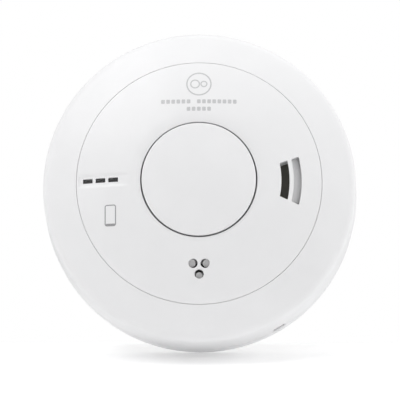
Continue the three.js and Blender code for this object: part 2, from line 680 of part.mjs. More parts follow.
const SOUNDER_CENTRE = [33, 0];
const SOUNDER_RADIUS = 16.5;
const SOUNDER_RIM = 36;
const SOUNDER_LID_TOP = SOUNDER_RIM + 1.5;
const SOUND_HOLE_RADIUS = 3;
const PIEZO_SEAT = 29.8;

function sounderChamber() {
  const section = [
    [0, ON_PCB + 0.1],
    [SOUNDER_RADIUS, ON_PCB + 0.1],
    [SOUNDER_RADIUS, SOUNDER_RIM],
    [SOUNDER_RADIUS - 1.5, SOUNDER_RIM],
    [SOUNDER_RADIUS - 1.5, PIEZO_SEAT],
    [13, PIEZO_SEAT],
    [13, 27.5],
    [0, 27.5],
  ];
  return turn(section, 32, SOUNDER_CENTRE);
}

function piezoDisc() {
  const [bottom, face] = [PIEZO_SEAT + FIT, PIEZO_SEAT + FIT + 0.4];
  return join(
    rod(SOUNDER_CENTRE, 14.5, [bottom, face], 32),
    rod(SOUNDER_CENTRE, 10, [face - 0.2, face + 0.3], 24),
  );
}

function sounderLid() {
  const section = [
    [0, SOUNDER_RIM + FIT],
    [12.6, SOUNDER_RIM + FIT],
    [12.6, SOUNDER_RIM - 2.2],
    [SOUNDER_RADIUS - 1.9, SOUNDER_RIM - 2.2],
    [SOUNDER_RADIUS - 1.9, SOUNDER_RIM + FIT],
    [SOUNDER_RADIUS, SOUNDER_RIM + FIT],
    [SOUNDER_RADIUS, SOUNDER_LID_TOP],
    [0, SOUNDER_LID_TOP],
  ];
  const soundHole = rod(SOUNDER_CENTRE, SOUND_HOLE_RADIUS, [SOUNDER_RIM - 1, SOUNDER_LID_TOP + 1]);
  return cut(turn(section, 32, SOUNDER_CENTRE), soundHole);
}

// A sloped bar under the outer window throws the sound forwards.
function soundDeflector() {
  const bottom = SOUNDER_LID_TOP + FIT;
  const section = [
    [41, bottom],
    [46, bottom],
    [46, bottom + 0.8],
    [41, bottom + 2.9],
  ];
  const sector = new THREE.Shape().moveTo(30, -12).lineTo(60, -24).lineTo(60, 24).lineTo(30, 12);
  return common(turn(section), plate(sector, [bottom - 1, DEPTH]));
}

// ---------------------------------------------------------------- indicators

const LED_TOP = ON_PCB + 1.5;
const HOLDER_Z = [28.8, 34];

function led(index) {
  return box(span(3.2, indicatorX(index)), span(1.8, INDICATOR_MIDDLE[1]), [ON_PCB, LED_TOP]);
}

function lightPipe(index) {
  const [width, height] = INDICATOR_SLOT.map((size) => size - 2 * FIT);
  const [x, y] = [indicatorX(index), INDICATOR_MIDDLE[1]];
  const bar = box(span(width, x), span(height, y), [LED_TOP + 0.8, DEPTH]);
  return common(bar, underFace(0.5));
}

function lightPipeHolder() {
  const [x, y] = INDICATOR_MIDDLE;
  const wide = span(3 * INDICATOR_SPACING + 1, x);
  const block = box(wide, span(5, y), HOLDER_Z);
  const feet = [wide[0], wide[1] - 1.2].map((start) => box([start, start + 1.2], span(5, y), [ON_PCB, HOLDER_Z[1]]));
  const [slotWidth, slotHeight] = INDICATOR_SLOT;
  const slots = INDICATORS.map((_, index) =>
    box(span(slotWidth, indicatorX(index)), span(slotHeight, y), [HOLDER_Z[0] - 1, HOLDER_Z[1] + 1]));
  return cut(join(block, ...feet), ...slots);
}

// ---------------------------------------------------------------- low-voltage parts on the board

const BACKUP_CELLS = [
  [-16, 37],
  [11, 39],
];

function backupCell(place) {
  const section = [
    [0, ON_PCB],
    [8.8, ON_PCB],
    [8.8, ON_PCB + 0.5],
    [9.8, ON_PCB + 0.7],
    [10, ON_PCB + 1],
    [10, ON_PCB + 3.2],
    [0, ON_PCB + 3.2],
  ];
  return turn(section, 24, place);
}

function microcontroller() {
  const body = box(span(7.4, -19), span(7.4, -17), [ON_PCB, ON_PCB + 1.5]);
  const legs = [-2.4, 0, 2.4].flatMap((offset) => [
    box(span(9.4, -19), span(0.6, -17 + offset), [ON_PCB, ON_PCB + 0.4]),
    box(span(0.6, -19 + offset), span(9.4, -17), [ON_PCB, ON_PCB + 0.4]),
  ]);
  return join(body, ...legs);
}

// ---------------------------------------------------------------- finishes

const FINISH = {
  whitePlastic: { color: 0xf1f1ef, roughness: 0.42, metalness: 0 },
  greyPlastic: { color: 0xb9b8b8, roughness: 0.5, metalness: 0 },
  blackPlastic: { color: 0x1d1d1c, roughness: 0.55, metalness: 0 },
  smokedPlastic: { color: 0x3c3c3c, roughness: 0.25, metalness: 0 },
  blackRubber: { color: 0x26262a, roughness: 0.85, metalness: 0 },
  circuitBoard: { color: 0x1f5a34, roughness: 0.5, metalness: 0 },
  brass: { color: 0xc7a355, roughness: 0.35, metalness: 1 },
  steel: { color: 0xb8babd, roughness: 0.35, metalness: 1 },
  tinnedCopper: { color: 0xcfcbc0, roughness: 0.3, metalness: 1 },
  redFilm: { color: 0x8d2f2a, roughness: 0.45, metalness: 0 },
  blueSleeve: { color: 0x27406f, roughness: 0.4, metalness: 0 },
  beigeCeramic: { color: 0xc9bb95, roughness: 0.6, metalness: 0 },
  copperWinding: { color: 0xa9612f, roughness: 0.4, metalness: 0.8 },
  greenLed: { color: 0xa6cfa8, roughness: 0.3, metalness: 0 },
  amberLed: { color: 0xd8bd84, roughness: 0.3, metalness: 0 },
  redLed: { color: 0xd09a92, roughness: 0.3, metalness: 0 },
};

// ---------------------------------------------------------------- the whole alarm

const alarm = new THREE.Group();
alarm.rotation.x = Math.PI / 2; // face frame to the part's frame: the wall face looks along +Y
const slideFrame = new THREE.Group();
slideFrame.rotation.z = radians(SLIDE_ANGLE);
alarm.add(slideFrame);

function addPiece(frame, name, shape, finish) {
  const mesh = new THREE.Mesh(toGeometry(asSolid(shape)), new THREE.MeshStandardMaterial(finish));
  mesh.name = name;
  frame.add(mesh);
}

// What stays on the wall.
addPiece(slideFrame, 'base_plate', basePlate(), FINISH.whitePlastic);
addPiece(slideFrame, 'terminal_block', terminalBlock(), FINISH.greyPlastic);
addPiece(slideFrame, 'terminal_cover', terminalCover(), FINISH.whitePlastic);
addPiece(slideFrame, 'release_catch', releaseCatch(), FINISH.greyPlastic);
for (const [name, y] of TERMINALS) {
  addPiece(slideFrame, `${name}_terminal`, terminal(y), FINISH.brass);
  addPiece(slideFrame, `${name}_terminal_screw`, terminalScrew(y), FINISH.steel);
}

// The head's casing.
addPiece(alarm, 'outer_cover', outerCover(), FINISH.whitePlastic);
addPiece(alarm, 'fascia', fascia(), FINISH.whitePlastic);
addPiece(slideFrame, 'rear_housing', rearHousing(), FINISH.whitePlastic);
HOUSING_SCREW_ANGLES.forEach((angle, index) => {
  addPiece(slideFrame, `housing_screw_${index + 1}`, housingScrew(angle), FINISH.steel);
});
for (const [name, y] of TERMINALS) {
  addPiece(slideFrame, `${name}_blade`, blade(y), FINISH.tinnedCopper);
}

// The test button and the switch under it.
addPiece(alarm, 'test_button', testButton(), FINISH.whitePlastic);
addPiece(alarm, 'test_switch_body', testSwitchBody(), FINISH.blackPlastic);
addPiece(alarm, 'test_switch_plunger', testSwitchPlunger(), FINISH.greyPlastic);

// The circuit board and the mains parts under it.
addPiece(slideFrame, 'main_pcb', mainPcb(), FINISH.circuitBoard);
PCB_SCREW_ANGLES.forEach((angle, index) => {
  addPiece(slideFrame, `pcb_screw_${index + 1}`, pcbScrew(angle), FINISH.steel);
});
addPiece(slideFrame, 'film_capacitor', filmCapacitor(), FINISH.redFilm);
addPiece(slideFrame, 'smoothing_capacitor_1', smoothingCapacitor(-7), FINISH.blueSleeve);
addPiece(slideFrame, 'smoothing_capacitor_2', smoothingCapacitor(5), FINISH.blueSleeve);
addPiece(slideFrame, 'filter_choke', filterChoke(), FINISH.copperWinding);
addPiece(slideFrame, 'fuse_resistor', fuseResistor(), FINISH.beigeCeramic);
addPiece(slideFrame, 'surge_varistor', surgeVaristor(), FINISH.blueSleeve);

// What the circuit board carries in front.
addPiece(alarm, 'co_sensor', coSensor(), FINISH.blackPlastic);
addPiece(alarm, 'sensor_gasket', sensorGasket(), FINISH.blackRubber);
addPiece(alarm, 'gas_baffle', gasBaffle(), FINISH.greyPlastic);
addPiece(alarm, 'sounder_chamber', sounderChamber(), FINISH.blackPlastic);
addPiece(alarm, 'piezo_disc', piezoDisc(), FINISH.brass);
addPiece(alarm, 'sounder_lid', sounderLid(), FINISH.blackPlastic);
addPiece(alarm, 'sound_deflector', soundDeflector(), FINISH.whitePlastic);
const ledFinishes = [FINISH.greenLed, FINISH.amberLed, FINISH.redLed];
INDICATORS.forEach((name, index) => {
  addPiece(alarm, `${name}_led`, led(index), ledFinishes[index]);
  addPiece(alarm, `${name}_light_pipe`, lightPipe(index), FINISH.smokedPlastic);
});
addPiece(alarm, 'light_pipe_holder', lightPipeHolder(), FINISH.blackPlastic);
BACKUP_CELLS.forEach((place, index) => {
  addPiece(alarm, `backup_cell_${index + 1}`, backupCell(place), FINISH.steel);
});
addPiece(alarm, 'microcontroller', microcontroller(), FINISH.blackPlastic);

const model = new THREE.Group();
model.add(alarm);

export default model;
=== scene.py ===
"""The looks of a round, mains-powered carbon monoxide alarm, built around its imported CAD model.

Pieces are drawn in the face frame, in millimetres: x to the right, y up and z straight out of the wall,
with z = 0 on the wall. Pieces of the sliding fit are drawn in the slide frame, the face frame turned so
that its x points the way the head slides off. place() puts a mesh into the row's frame, in metres.
"""

import json
import math

import bmesh
import bpy
import numpy as np
from mathutils import Matrix, Vector

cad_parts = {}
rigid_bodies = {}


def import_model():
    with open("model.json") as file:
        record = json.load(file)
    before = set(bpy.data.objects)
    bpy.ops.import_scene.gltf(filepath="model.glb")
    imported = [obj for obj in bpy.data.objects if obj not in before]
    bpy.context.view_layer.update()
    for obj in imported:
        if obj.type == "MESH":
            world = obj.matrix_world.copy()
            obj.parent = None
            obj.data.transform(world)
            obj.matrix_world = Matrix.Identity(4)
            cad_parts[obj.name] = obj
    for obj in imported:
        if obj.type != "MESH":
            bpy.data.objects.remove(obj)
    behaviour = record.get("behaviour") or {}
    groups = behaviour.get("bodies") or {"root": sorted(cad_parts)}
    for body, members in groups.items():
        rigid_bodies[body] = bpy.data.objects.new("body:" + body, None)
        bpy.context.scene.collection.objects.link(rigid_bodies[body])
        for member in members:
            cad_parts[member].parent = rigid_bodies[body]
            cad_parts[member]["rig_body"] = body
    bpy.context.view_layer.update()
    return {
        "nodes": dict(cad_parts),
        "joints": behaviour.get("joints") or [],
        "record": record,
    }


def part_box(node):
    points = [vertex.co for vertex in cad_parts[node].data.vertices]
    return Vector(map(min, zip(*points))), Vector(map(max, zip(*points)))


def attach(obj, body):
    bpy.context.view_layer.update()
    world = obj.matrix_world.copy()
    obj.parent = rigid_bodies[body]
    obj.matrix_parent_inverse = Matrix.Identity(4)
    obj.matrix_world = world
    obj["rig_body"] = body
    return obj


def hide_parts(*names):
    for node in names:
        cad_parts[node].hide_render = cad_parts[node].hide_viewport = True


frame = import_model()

# -------- driving dimensions

MM = 0.001


def spans(node):
    """A CAD node's spans along x, y and z of the face frame, in millimetres."""
    low, high = (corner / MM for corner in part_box(node))
    return (low.x, high.x), (low.z, high.z), (-high.y, -low.y)


def middle(span):
    return (span[0] + span[1]) / 2


def size(span):
    return span[1] - span[0]


def centre_of(node):
    return [middle(span) for span in spans(node)[:2]]


def around(value, width):
    return (value - width / 2, value + width / 2)


WALL = 2.2  # moulded wall thickness
FIT = 0.3  # gap between pieces that touch
SLIDE_FIT = 0.1  # what is added to it where the head slides over the base
FACE_SPHERE = 140.0  # the whole front face lies on a sphere of this radius
SIDE_DRAFT = 0.054  # the head's skirt narrows by this much for each millimetre forwards
SHOULDER_RADIUS = 66.2  # the dome ends here and rounds over into the skirt
CREASE_HEIGHT = 28.9  # the rounding ends here
LEDGE_INSET = WALL + FIT  # the fascia rests on a ledge this far below the face
LEDGE_RADIUS = 51.3

RADIUS = size(spans("base_plate")[0]) / 2
DEPTH = spans("test_button")[2][1]
HEAD_RADIUS = size(spans("outer_cover")[0]) / 2
HEAD_BACK = spans("outer_cover")[2][0]
BASE_HEIGHT = HEAD_BACK - FIT - SLIDE_FIT
BASE_FLOOR = 2.4
SEAM_RADIUS = size(spans("fascia")[0]) / 2 + FIT / 2
BUTTON_RADIUS = size(spans("test_button")[0]) / 2
COLLAR_RADIUS = BUTTON_RADIUS + 2 * FIT  # the fascia's collar around the test button
COLLAR_BOTTOM = 38.0
DIP_START = 31.5  # the fascia dips towards the button from here
DIP_DEPTH = 0.75

SEAM_GAP = 0.13  # what shows of the joint between fascia and cover
SEAM_EDGE = 0.13  # rounding of the edges along that joint
COLLAR_EDGE = 0.3  # rounding of the fascia's edge around the test button
BUTTON_EDGE = 0.45

TURN_SIDES = 480  # sides of the large round pieces
SMALL_TURN_SIDES = 64
CORNER_STEPS = 4  # segments in a rounded corner
ON_AXIS = 1e-6  # a smaller radius is a point on a turned piece's axis
SHARP_ANGLE = math.radians(30)  # faces that meet at more than this show an edge

slide = next(joint for joint in frame["joints"] if joint["name"] == "head_slide")
SLIDE_ANGLE = math.atan2(slide["axis"][2], slide["axis"][0])
SLIDE_TRAVEL = slide["range_m"][1] / MM

# -------- mesh kit


def closed_mesh(vertices, faces):
    """A mesh with all its faces pointing out."""
    mesh = bpy.data.meshes.new("shape")
    mesh.from_pydata([tuple(map(float, v)) for v in vertices], [], faces)
    work = bmesh.new()
    work.from_mesh(mesh)
    bmesh.ops.recalc_face_normals(work, faces=work.faces)
    work.to_mesh(mesh)
    work.free()
    return mesh


def polar(radius, degrees):
    return (radius * math.cos(math.radians(degrees)), radius * math.sin(math.radians(degrees)))


def rounded(corners, steps=CORNER_STEPS):
    """The closed outline through (x, y, radius) corners, each rounded by a tangent arc of its radius."""
    points = []
    for index, (x, y, radius) in enumerate(corners):
        corner = Vector((x, y))
        if radius == 0:
            points.append(tuple(corner))
            continue
        before = (Vector(corners[index - 1][:2]) - corner).normalized()
        after = (Vector(corners[(index + 1) % len(corners)][:2]) - corner).normalized()
        half = before.angle(after) / 2
        centre = corner + (before + after).normalized() * (radius / math.sin(half))
        start = corner + before * (radius / math.tan(half)) - centre
        end = corner + after * (radius / math.tan(half)) - centre
        points += [tuple(centre + radius * start.slerp(end, step / steps)) for step in range(steps + 1)]
    return points


def rectangle(centre, width, height, radius, steps=CORNER_STEPS):
    x, y = centre
    signs = [(1, -1), (1, 1), (-1, 1), (-1, -1)]
    return rounded([(x + a * width / 2, y + b * height / 2, radius) for a, b in signs], steps)


def circle(centre, radius, sides=SMALL_TURN_SIDES):
    turn = [math.tau * side / sides for side in range(sides)]
    return [(centre[0] + radius * math.cos(a), centre[1] + radius * math.sin(a)) for a in turn]


def turned(corners, sides=TURN_SIDES, centre=(0.0, 0.0), arc=None):
    """A section through (radius, z, rounding) corners, turned about an upright axis or over an arc."""
    section = rounded(corners)
    if arc is None:
        angles = [math.tau * side / sides for side in range(sides)]
    else:
        angles = [arc[0] + (arc[1] - arc[0]) * side / sides for side in range(sides + 1)]
    rings = []
    vertices = []
    for radius, z in section:
        on_axis = radius < ON_AXIS
        rings.append([len(vertices) + (0 if on_axis else i) for i in range(len(angles))])
        for angle in angles[:1] if on_axis else angles:
            x, y = radius * math.cos(angle), radius * math.sin(angle)
            vertices.append((centre[0] + x, centre[1] + y, z))
    pairs = list(zip(rings, rings[1:]))
    if section[0][0] > ON_AXIS:
        pairs.append((rings[-1], rings[0]))
    faces = []
    for lower, upper in pairs:
        for i in range(sides):
            j = (i + 1) % len(angles)
            corners = list(dict.fromkeys((lower[i], lower[j], upper[j], upper[i])))
            if len(corners) > 2:
                faces.append(corners)
    if arc is not None:
        faces += [[ring[0] for ring in rings], [ring[-1] for ring in rings]]
    return closed_mesh(vertices, faces)


def grown(outline, growth):
    """A counter-clockwise outline moved outwards by growth."""
    points = np.array(outline, float)
    along = np.roll(points, -1, axis=0) - points
    along /= np.linalg.norm(along, axis=1)[:, None]
    outward = np.stack([along[:, 1], -along[:, 0]], axis=1)
    before = np.roll(outward, 1, axis=0)
    share = 1 + (outward * before).sum(axis=1)
    return points + growth * (outward + before) / share[:, None]


def raised(outline, levels, ring=False):
    """An outline carried up through (height, growth) levels, and for a ring back to the first level.

    A height may be a function of x and y.
    """
    count = len(outline)
    vertices = []
    for height, growth in levels:
        points = grown(outline, growth)
        heights = height(points[:, 0], points[:, 1]) if callable(height) else np.full(count, height)
        vertices.extend(np.column_stack([points, heights]))
    last = count * (len(levels) - 1)
    faces = [] if ring else [list(range(count)), list(range(last, last + count))]
    for low in range(0, last + 1 if ring else last, count):
        high = (low + count) % len(vertices)
        for i in range(count):
            j = (i + 1) % count
            faces.append([low + i, low + j, high + j, high + i])
    return closed_mesh(vertices, faces)


def finished(work):
    """The mesh that a bmesh has become."""
    mesh = bpy.data.meshes.new("shape")
    work.to_mesh(mesh)
    work.free()
    return mesh


def block(x_span, y_span, z_span, edge):
    """A box with rounded edges."""
    work = bmesh.new()
    bmesh.ops.create_cube(work, size=1)
    for vertex in work.verts:
        for axis, span in enumerate((x_span, y_span, z_span)):
            vertex.co[axis] = middle(span) + vertex.co[axis] * size(span)
    if edge > 0:
        bmesh.ops.bevel(work, geom=work.edges[:], offset=edge, segments=3, profile=0.5, affect="EDGES")
    return finished(work)


def rod(centre, radius, z_span, edge=0.0):
    """An upright round bar."""
    low, high = z_span
    section = [(0, low, 0), (radius, low, edge), (radius, high, edge), (0, high, 0)]
    return turned(section, SMALL_TURN_SIDES, centre)


def moved(mesh, matrix):
    mesh = mesh.copy()
    mesh.transform(matrix)
    return mesh


def spun(mesh, degrees):
    """A copy of the mesh, turned about z."""
    return moved(mesh, Matrix.Rotation(math.radians(degrees), 4, "Z"))


def bar_along_y(centre_xz, radius, y_span, edge=0.0):
    lying = Matrix.Rotation(math.radians(-90), 4, "X")
    bar = rod((0, 0), radius, y_span, edge)
    return moved(bar, Matrix.Translation((centre_xz[0], 0, centre_xz[1])) @ lying)


def add_object(name, data):
    """A new object in the scene."""
    added = bpy.data.objects.new(name, data)
    bpy.context.scene.collection.objects.link(added)
    return added


def combined(operation, body, tools):
    """The body after a boolean with each of the tools in turn."""
    helpers = [add_object("work", mesh) for mesh in (body, *tools)]
    for helper in helpers[1:]:
        modifier = helpers[0].modifiers.new("combine", "BOOLEAN")
        modifier.operation = operation
        modifier.solver = "MANIFOLD"
        modifier.object = helper
    graph = bpy.context.evaluated_depsgraph_get()
    result = bpy.data.meshes.new_from_object(helpers[0].evaluated_get(graph))
    for helper in helpers:
        bpy.data.objects.remove(helper)
    return result


def joined(body, *tools):
    return combined("UNION", body, tools)


def cut(body, *tools):
    return combined("DIFFERENCE", body, tools)


FACE_TO_ROW = Matrix(((MM, 0, 0, 0), (0, 0, -MM, 0), (0, MM, 0, 0), (0, 0, 0, 1)))
SLIDE_TO_FACE = Matrix.Rotation(SLIDE_ANGLE, 4, "Z")
SLIDE_TO_ROW = FACE_TO_ROW @ SLIDE_TO_FACE


def place(name, mesh, body, slot, replaced=None, to_row=FACE_TO_ROW):
    """Turns a finished mesh into a piece that rides on a body, in place of a CAD node."""
    mesh.transform(to_row)
    mesh.name = name
    mesh.shade_smooth()
    mesh.set_sharp_from_angle(angle=SHARP_ANGLE)
    mesh.materials.clear()
    mesh.materials.append(MATERIALS[slot])
    piece = add_object(name, mesh)
    piece.modifiers.new("weighted_normals", "WEIGHTED_NORMAL").keep_sharp = True
    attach(piece, body)
    if replaced:
        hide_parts(replaced)
    return piece


# -------- materials


def add_node(tree, kind, inputs=None, **settings):
    """A new node whose inputs are links from other nodes' outputs or plain values."""
    node = tree.nodes.new("ShaderNode" + kind)
    for key, value in settings.items():
        setattr(node, key, value)
    for key, value in (inputs or {}).items():
        if isinstance(value, bpy.types.NodeSocket):
            tree.links.new(value, node.inputs[key])
        else:
            node.inputs[key].default_value = value
    return node


class Nodes:
    """A new material's nodes, with short ways to add and link them."""

    def __init__(self, name):
        self.material = bpy.data.materials.new(name)
        self.material.use_nodes = True
        self.tree = self.material.node_tree
        self.shader = self.tree.nodes["Principled BSDF"]

    def add(self, kind, inputs=None, **settings):
        return add_node(self.tree, kind, inputs, **settings)

    def link(self, output, socket):
        self.tree.links.new(output, self.shader.inputs[socket])

    def set(self, socket, value):
        self.shader.inputs[socket].default_value = value

    def on_piece(self):
        """The place on the piece, which a pattern stays fixed to."""
        return self.add("TexCoord").outputs["Object"]

    def noise(self, cell_mm, detail):
        """A noise pattern with cells of about this size."""
        inputs = {"Vector": self.on_piece(), "Scale": 1 / (cell_mm * MM), "Detail": detail}
        return self.add("TexNoise", inputs).outputs["Fac"]

    def between(self, factor, low, high):
        """A value that runs from low to high with the factor."""
        inputs = {"Value": factor, "From Min": 0.3, "From Max": 0.7, "To Min": low, "To Max": high}
        return self.add("MapRange", inputs).outputs["Result"]

    def tint(self, factor, dark, light):
        """A colour that runs between two colours with the factor."""
        ramp = self.add("ValToRGB", {"Fac": factor})
        ramp.color_ramp.elements[0].color = (*dark, 1)
        ramp.color_ramp.elements[1].color = (*light, 1)
        ramp.color_ramp.elements[0].position = 0.3
        ramp.color_ramp.elements[1].position = 0.7
        return ramp.outputs["Color"]

    def bump(self, height, depth_mm, after=None):
        inputs = {"Height": height, "Strength": 1.0, "Distance": depth_mm * MM}
        if after is not None:
            inputs["Normal"] = after
        return self.add("Bump", inputs).outputs["Normal"]


def shade(colour, factor):
    return tuple(min(1.0, channel * factor) for channel in colour)


EDGE_RANGE = {"From Min": 0.53, "From Max": 0.6}  # pointiness from a flat face to an outer edge
SINK_DEPTH = 0.012  # the slow waves of a moulded face


def moulded(name, colour, roughness, grain_mm, grain_depth_mm, spread=0.012, edge_highlight_and_wear=0.03):
    """Moulded plastic: spark-eroded grain, faint flow marks, and outer edges made a little lighter, part
    wear and part painted highlight.
    """
    nodes = Nodes(name)
    flow = nodes.noise(18, detail=3)
    body = nodes.tint(flow, shade(colour, 1 - spread), shade(colour, 1 + spread))
    # painted highlight: outer edges, found by their pointiness, turn a little lighter, partly standing for
    # light wear as well
    edges = nodes.add("NewGeometry").outputs["Pointiness"]
    edge_highlight_and_wear_mask = nodes.add("MapRange", {"Value": edges, **EDGE_RANGE, "To Max": edge_highlight_and_wear})
    light = nodes.add("Mix", {"Factor": edge_highlight_and_wear_mask.outputs["Result"]}, data_type="RGBA")
    nodes.tree.links.new(body, light.inputs["A"])
    light.inputs["B"].default_value = (*shade(colour, 1.1), 1)
    nodes.link(light.outputs["Result"], "Base Color")
    nodes.link(nodes.between(nodes.noise(6, detail=4), roughness - 0.05, roughness + 0.05), "Roughness")
    grain = nodes.bump(nodes.noise(grain_mm, detail=3), grain_depth_mm)
    nodes.link(nodes.bump(nodes.noise(9, detail=1), SINK_DEPTH, after=grain), "Normal")
    nodes.set("IOR", 1.5)
    return nodes.material


def polished_metal(name, colour, roughness):
    """Plated or plain sheet metal with fine rolling marks and a little tarnish."""
    nodes = Nodes(name)
    tarnish = nodes.noise(3, detail=4)
    nodes.link(nodes.tint(tarnish, shade(colour, 0.86), colour), "Base Color")
    nodes.link(nodes.between(tarnish, roughness + 0.12, roughness - 0.05), "Roughness")
    nodes.link(nodes.bump(nodes.noise(0.4, detail=5), 0.004), "Normal")
    nodes.set("Metallic", 1.0)
    return nodes.material


def soft_rubber(name, colour):
    nodes = Nodes(name)
    pores = nodes.noise(0.5, detail=4)
    nodes.link(nodes.tint(pores, shade(colour, 0.6), colour), "Base Color")
    nodes.link(nodes.between(pores, 0.95, 0.8), "Roughness")
    nodes.link(nodes.bump(pores, 0.05), "Normal")
    return nodes.material


TRACE_PITCH = 3.0
WIRE_SCALE = 320.0  # puts the turns of a winding about 1 mm apart


def solder_mask(name, colour):
    """A circuit board: copper traces show as paler, raised bands under the lacquer."""
    nodes = Nodes(name)
    inputs = {"Vector": nodes.on_piece(), "Scale": 1 / (TRACE_PITCH * MM), "Randomness": 0.35}
    cells = nodes.add("TexVoronoi", inputs, distance="MANHATTAN", feature="F1")
    traces = nodes.between(cells.outputs["Distance"], 0.0, 1.0)
    nodes.link(nodes.tint(traces, colour, shade(colour, 1.6)), "Base Color")
    nodes.link(nodes.between(nodes.noise(2, detail=3), 0.3, 0.42), "Roughness")
    nodes.link(nodes.bump(traces, 0.03), "Normal")
    return nodes.material


def wound_wire(name, colour):
    """Enamelled wire wound in close turns."""
    nodes = Nodes(name)
    inputs = {"Vector": nodes.on_piece(), "Scale": WIRE_SCALE}
    turns = nodes.add("TexWave", inputs, bands_direction="Y")
    nodes.link(nodes.tint(turns.outputs["Fac"], shade(colour, 0.5), colour), "Base Color")
    nodes.link(nodes.between(nodes.noise(1, detail=3), 0.28, 0.42), "Roughness")
    nodes.link(nodes.bump(turns.outputs["Fac"], 0.15), "Normal")
    nodes.set("Coat Weight", 0.5)
    return nodes.material


def printed_ink(name, colour):
    """Pad-printed ink: slightly uneven cover, a little glossier than the plastic under it."""
    nodes = Nodes(name)
    cover = nodes.noise(0.4, detail=4)
    nodes.link(nodes.tint(cover, shade(colour, 0.92), shade(colour, 1.12)), "Base Color")
    nodes.link(nodes.between(cover, 0.3, 0.42), "Roughness")
    return nodes.material


# Each slot's kind, colour and roughness. Mouldings add the size and depth of their grain in millimetres,
# and some also how much their colour varies and how much lighter their edges are made, part wear and part
# painted highlight.
LOOKS = {
    "white_plastic": (moulded, (0.795, 0.795, 0.803), 0.42, 0.28, 0.006),
    "grey_plastic": (moulded, (0.70, 0.695, 0.695), 0.46, 0.3, 0.008),
    "black_plastic": (moulded, (0.1, 0.094, 0.08), 0.42, 0.3, 0.01, 0.1, 0.2),
    "smoked_plastic": (moulded, (0.045, 0.045, 0.046), 0.16, 0.5, 0.001, 0.06),
    "black_rubber": (soft_rubber, (0.02, 0.02, 0.022)),
    "circuit_board": (solder_mask, (0.012, 0.1, 0.035)),
    "brass": (polished_metal, (0.72, 0.5, 0.2), 0.32),
    "steel": (polished_metal, (0.62, 0.63, 0.64), 0.34),
    "tinned_copper": (polished_metal, (0.72, 0.7, 0.64), 0.28),
    "cell_can": (polished_metal, (0.66, 0.67, 0.68), 0.26),
    "red_film": (moulded, (0.27, 0.03, 0.022), 0.3, 0.4, 0.004, 0.06, 0.1),
    "blue_sleeve": (moulded, (0.02, 0.05, 0.16), 0.3, 0.4, 0.004, 0.08, 0.1),
    "beige_ceramic": (moulded, (0.58, 0.5, 0.32), 0.6, 0.2, 0.02, 0.05, 0.05),
    "copper_winding": (wound_wire, (0.4, 0.14, 0.04)),
    "led_green": (moulded, (0.35, 0.6, 0.37), 0.2, 0.5, 0.001),
    "led_amber": (moulded, (0.7, 0.5, 0.23), 0.2, 0.5, 0.001),
    "led_red": (moulded, (0.63, 0.32, 0.28), 0.2, 0.5, 0.001),
}
MATERIALS = {slot: kind(slot, *settings) for slot, (kind, *settings) in LOOKS.items()}
PALE_INK = printed_ink("pale_ink", (0.52, 0.52, 0.53))
GREY_INK = printed_ink("grey_ink", (0.3, 0.3, 0.305))

# -------- the front face's curve

INDICATORS = ("power_light_pipe", "fault_light_pipe", "alarm_light_pipe")
INDICATOR_CENTRES = [centre_of(name) for name in INDICATORS]
INDICATOR_SLOT = [size(span) + 2 * FIT for span in spans("power_light_pipe")[:2]]

# A shallow hollow surrounds the indicators and runs out towards the test button.
HOLLOW_DEPTH = 0.4
HOLLOW_HALF_HEIGHT = 3.0
HOLLOW_EDGE = 1.0
HOLLOW_LEFT = INDICATOR_CENTRES[0][0] - 4.4
HOLLOW_RIGHT = INDICATOR_CENTRES[2][0] + 8.2
HOLLOW_RUN_OUT = 5.5


def sphere_height(radius, inset=0.0):
    """Height of the sphere that the front face lies on, or of the surface that lies inset below it."""
    return DEPTH - FACE_SPHERE + np.sqrt((FACE_SPHERE - inset) ** 2 - np.square(radius))


def smooth_step(value):
    share = np.clip(value, 0, 1)
    return share * share * (3 - 2 * share)


def indicator_hollow(x, y):
    """How far the indicators' hollow lowers the face."""
    across = smooth_step((HOLLOW_HALF_HEIGHT - np.abs(y - INDICATOR_CENTRES[1][1])) / HOLLOW_EDGE)
    left = smooth_step((x - HOLLOW_LEFT) / HOLLOW_EDGE)
    right = smooth_step((HOLLOW_RIGHT - x) / HOLLOW_RUN_OUT)
    return HOLLOW_DEPTH * across * left * right


def front_height(x, y):
    """Height of the fascia's front."""
    radius = np.hypot(x, y)
    dip = np.clip((DIP_START - radius) / (DIP_START - COLLAR_RADIUS), 0, 1)
    return sphere_height(radius) - DIP_DEPTH * dip**2 - indicator_hollow(x, y)


def under_front(depth):
    return lambda x, y: front_height(x, y) - depth


def face_arc(start, end, inset=0.0, step=0.6):
    """Section points along the sphere from one radius to another, both ends included."""
    count = max(2, round(abs(end - start) / step))
    radii = [start + (end - start) * i / count for i in range(count + 1)]
    return [(radius, sphere_height(radius, inset), 0) for radius in radii]


TOOL_RISE = 0.01  # cutting tools pass the face by this much, so that no surfaces coincide
QUARTER_TURN = [math.radians(90) * step / 5 for step in range(6)]


def opening(outline, edge, bottom):
    """A tool that cuts an opening through the front, with a rounded edge that follows the face."""
    lip = [
        (under_front(edge * (1 - math.sin(angle)) - TOOL_RISE), edge * (1 - math.cos(angle)))
        for angle in QUARTER_TURN
    ]
    return raised(outline, [(bottom, 0), *lip, (under_front(-2), edge)])


# -------- outer cover

HOUSING_SCREW_RADIUS = 61.0
HOUSING_SCREW_ANGLES = (0, 120, 240)
SCREW_HOLE_RADIUS = 1.6
COVER_BOSS_BOTTOM = 14.9
COVER_BOSS_RADIUS = 3.4
COVER_HOLE_TOP = 27.0
SKIRT_RINGS = [CREASE_HEIGHT - 2.5 * step for step in range(1, 8)]  # keep its shading even
RELEASE_SLOT_WIDTH = 5.5
RELEASE_SLOT_TOP = 14.9
RELEASE_SLOT_FROM = 60.0  # the slot's cutting tool starts at this radius, inside the housing's wall


def side_radius(height):
    return HEAD_RADIUS - SIDE_DRAFT * (height - HEAD_BACK)


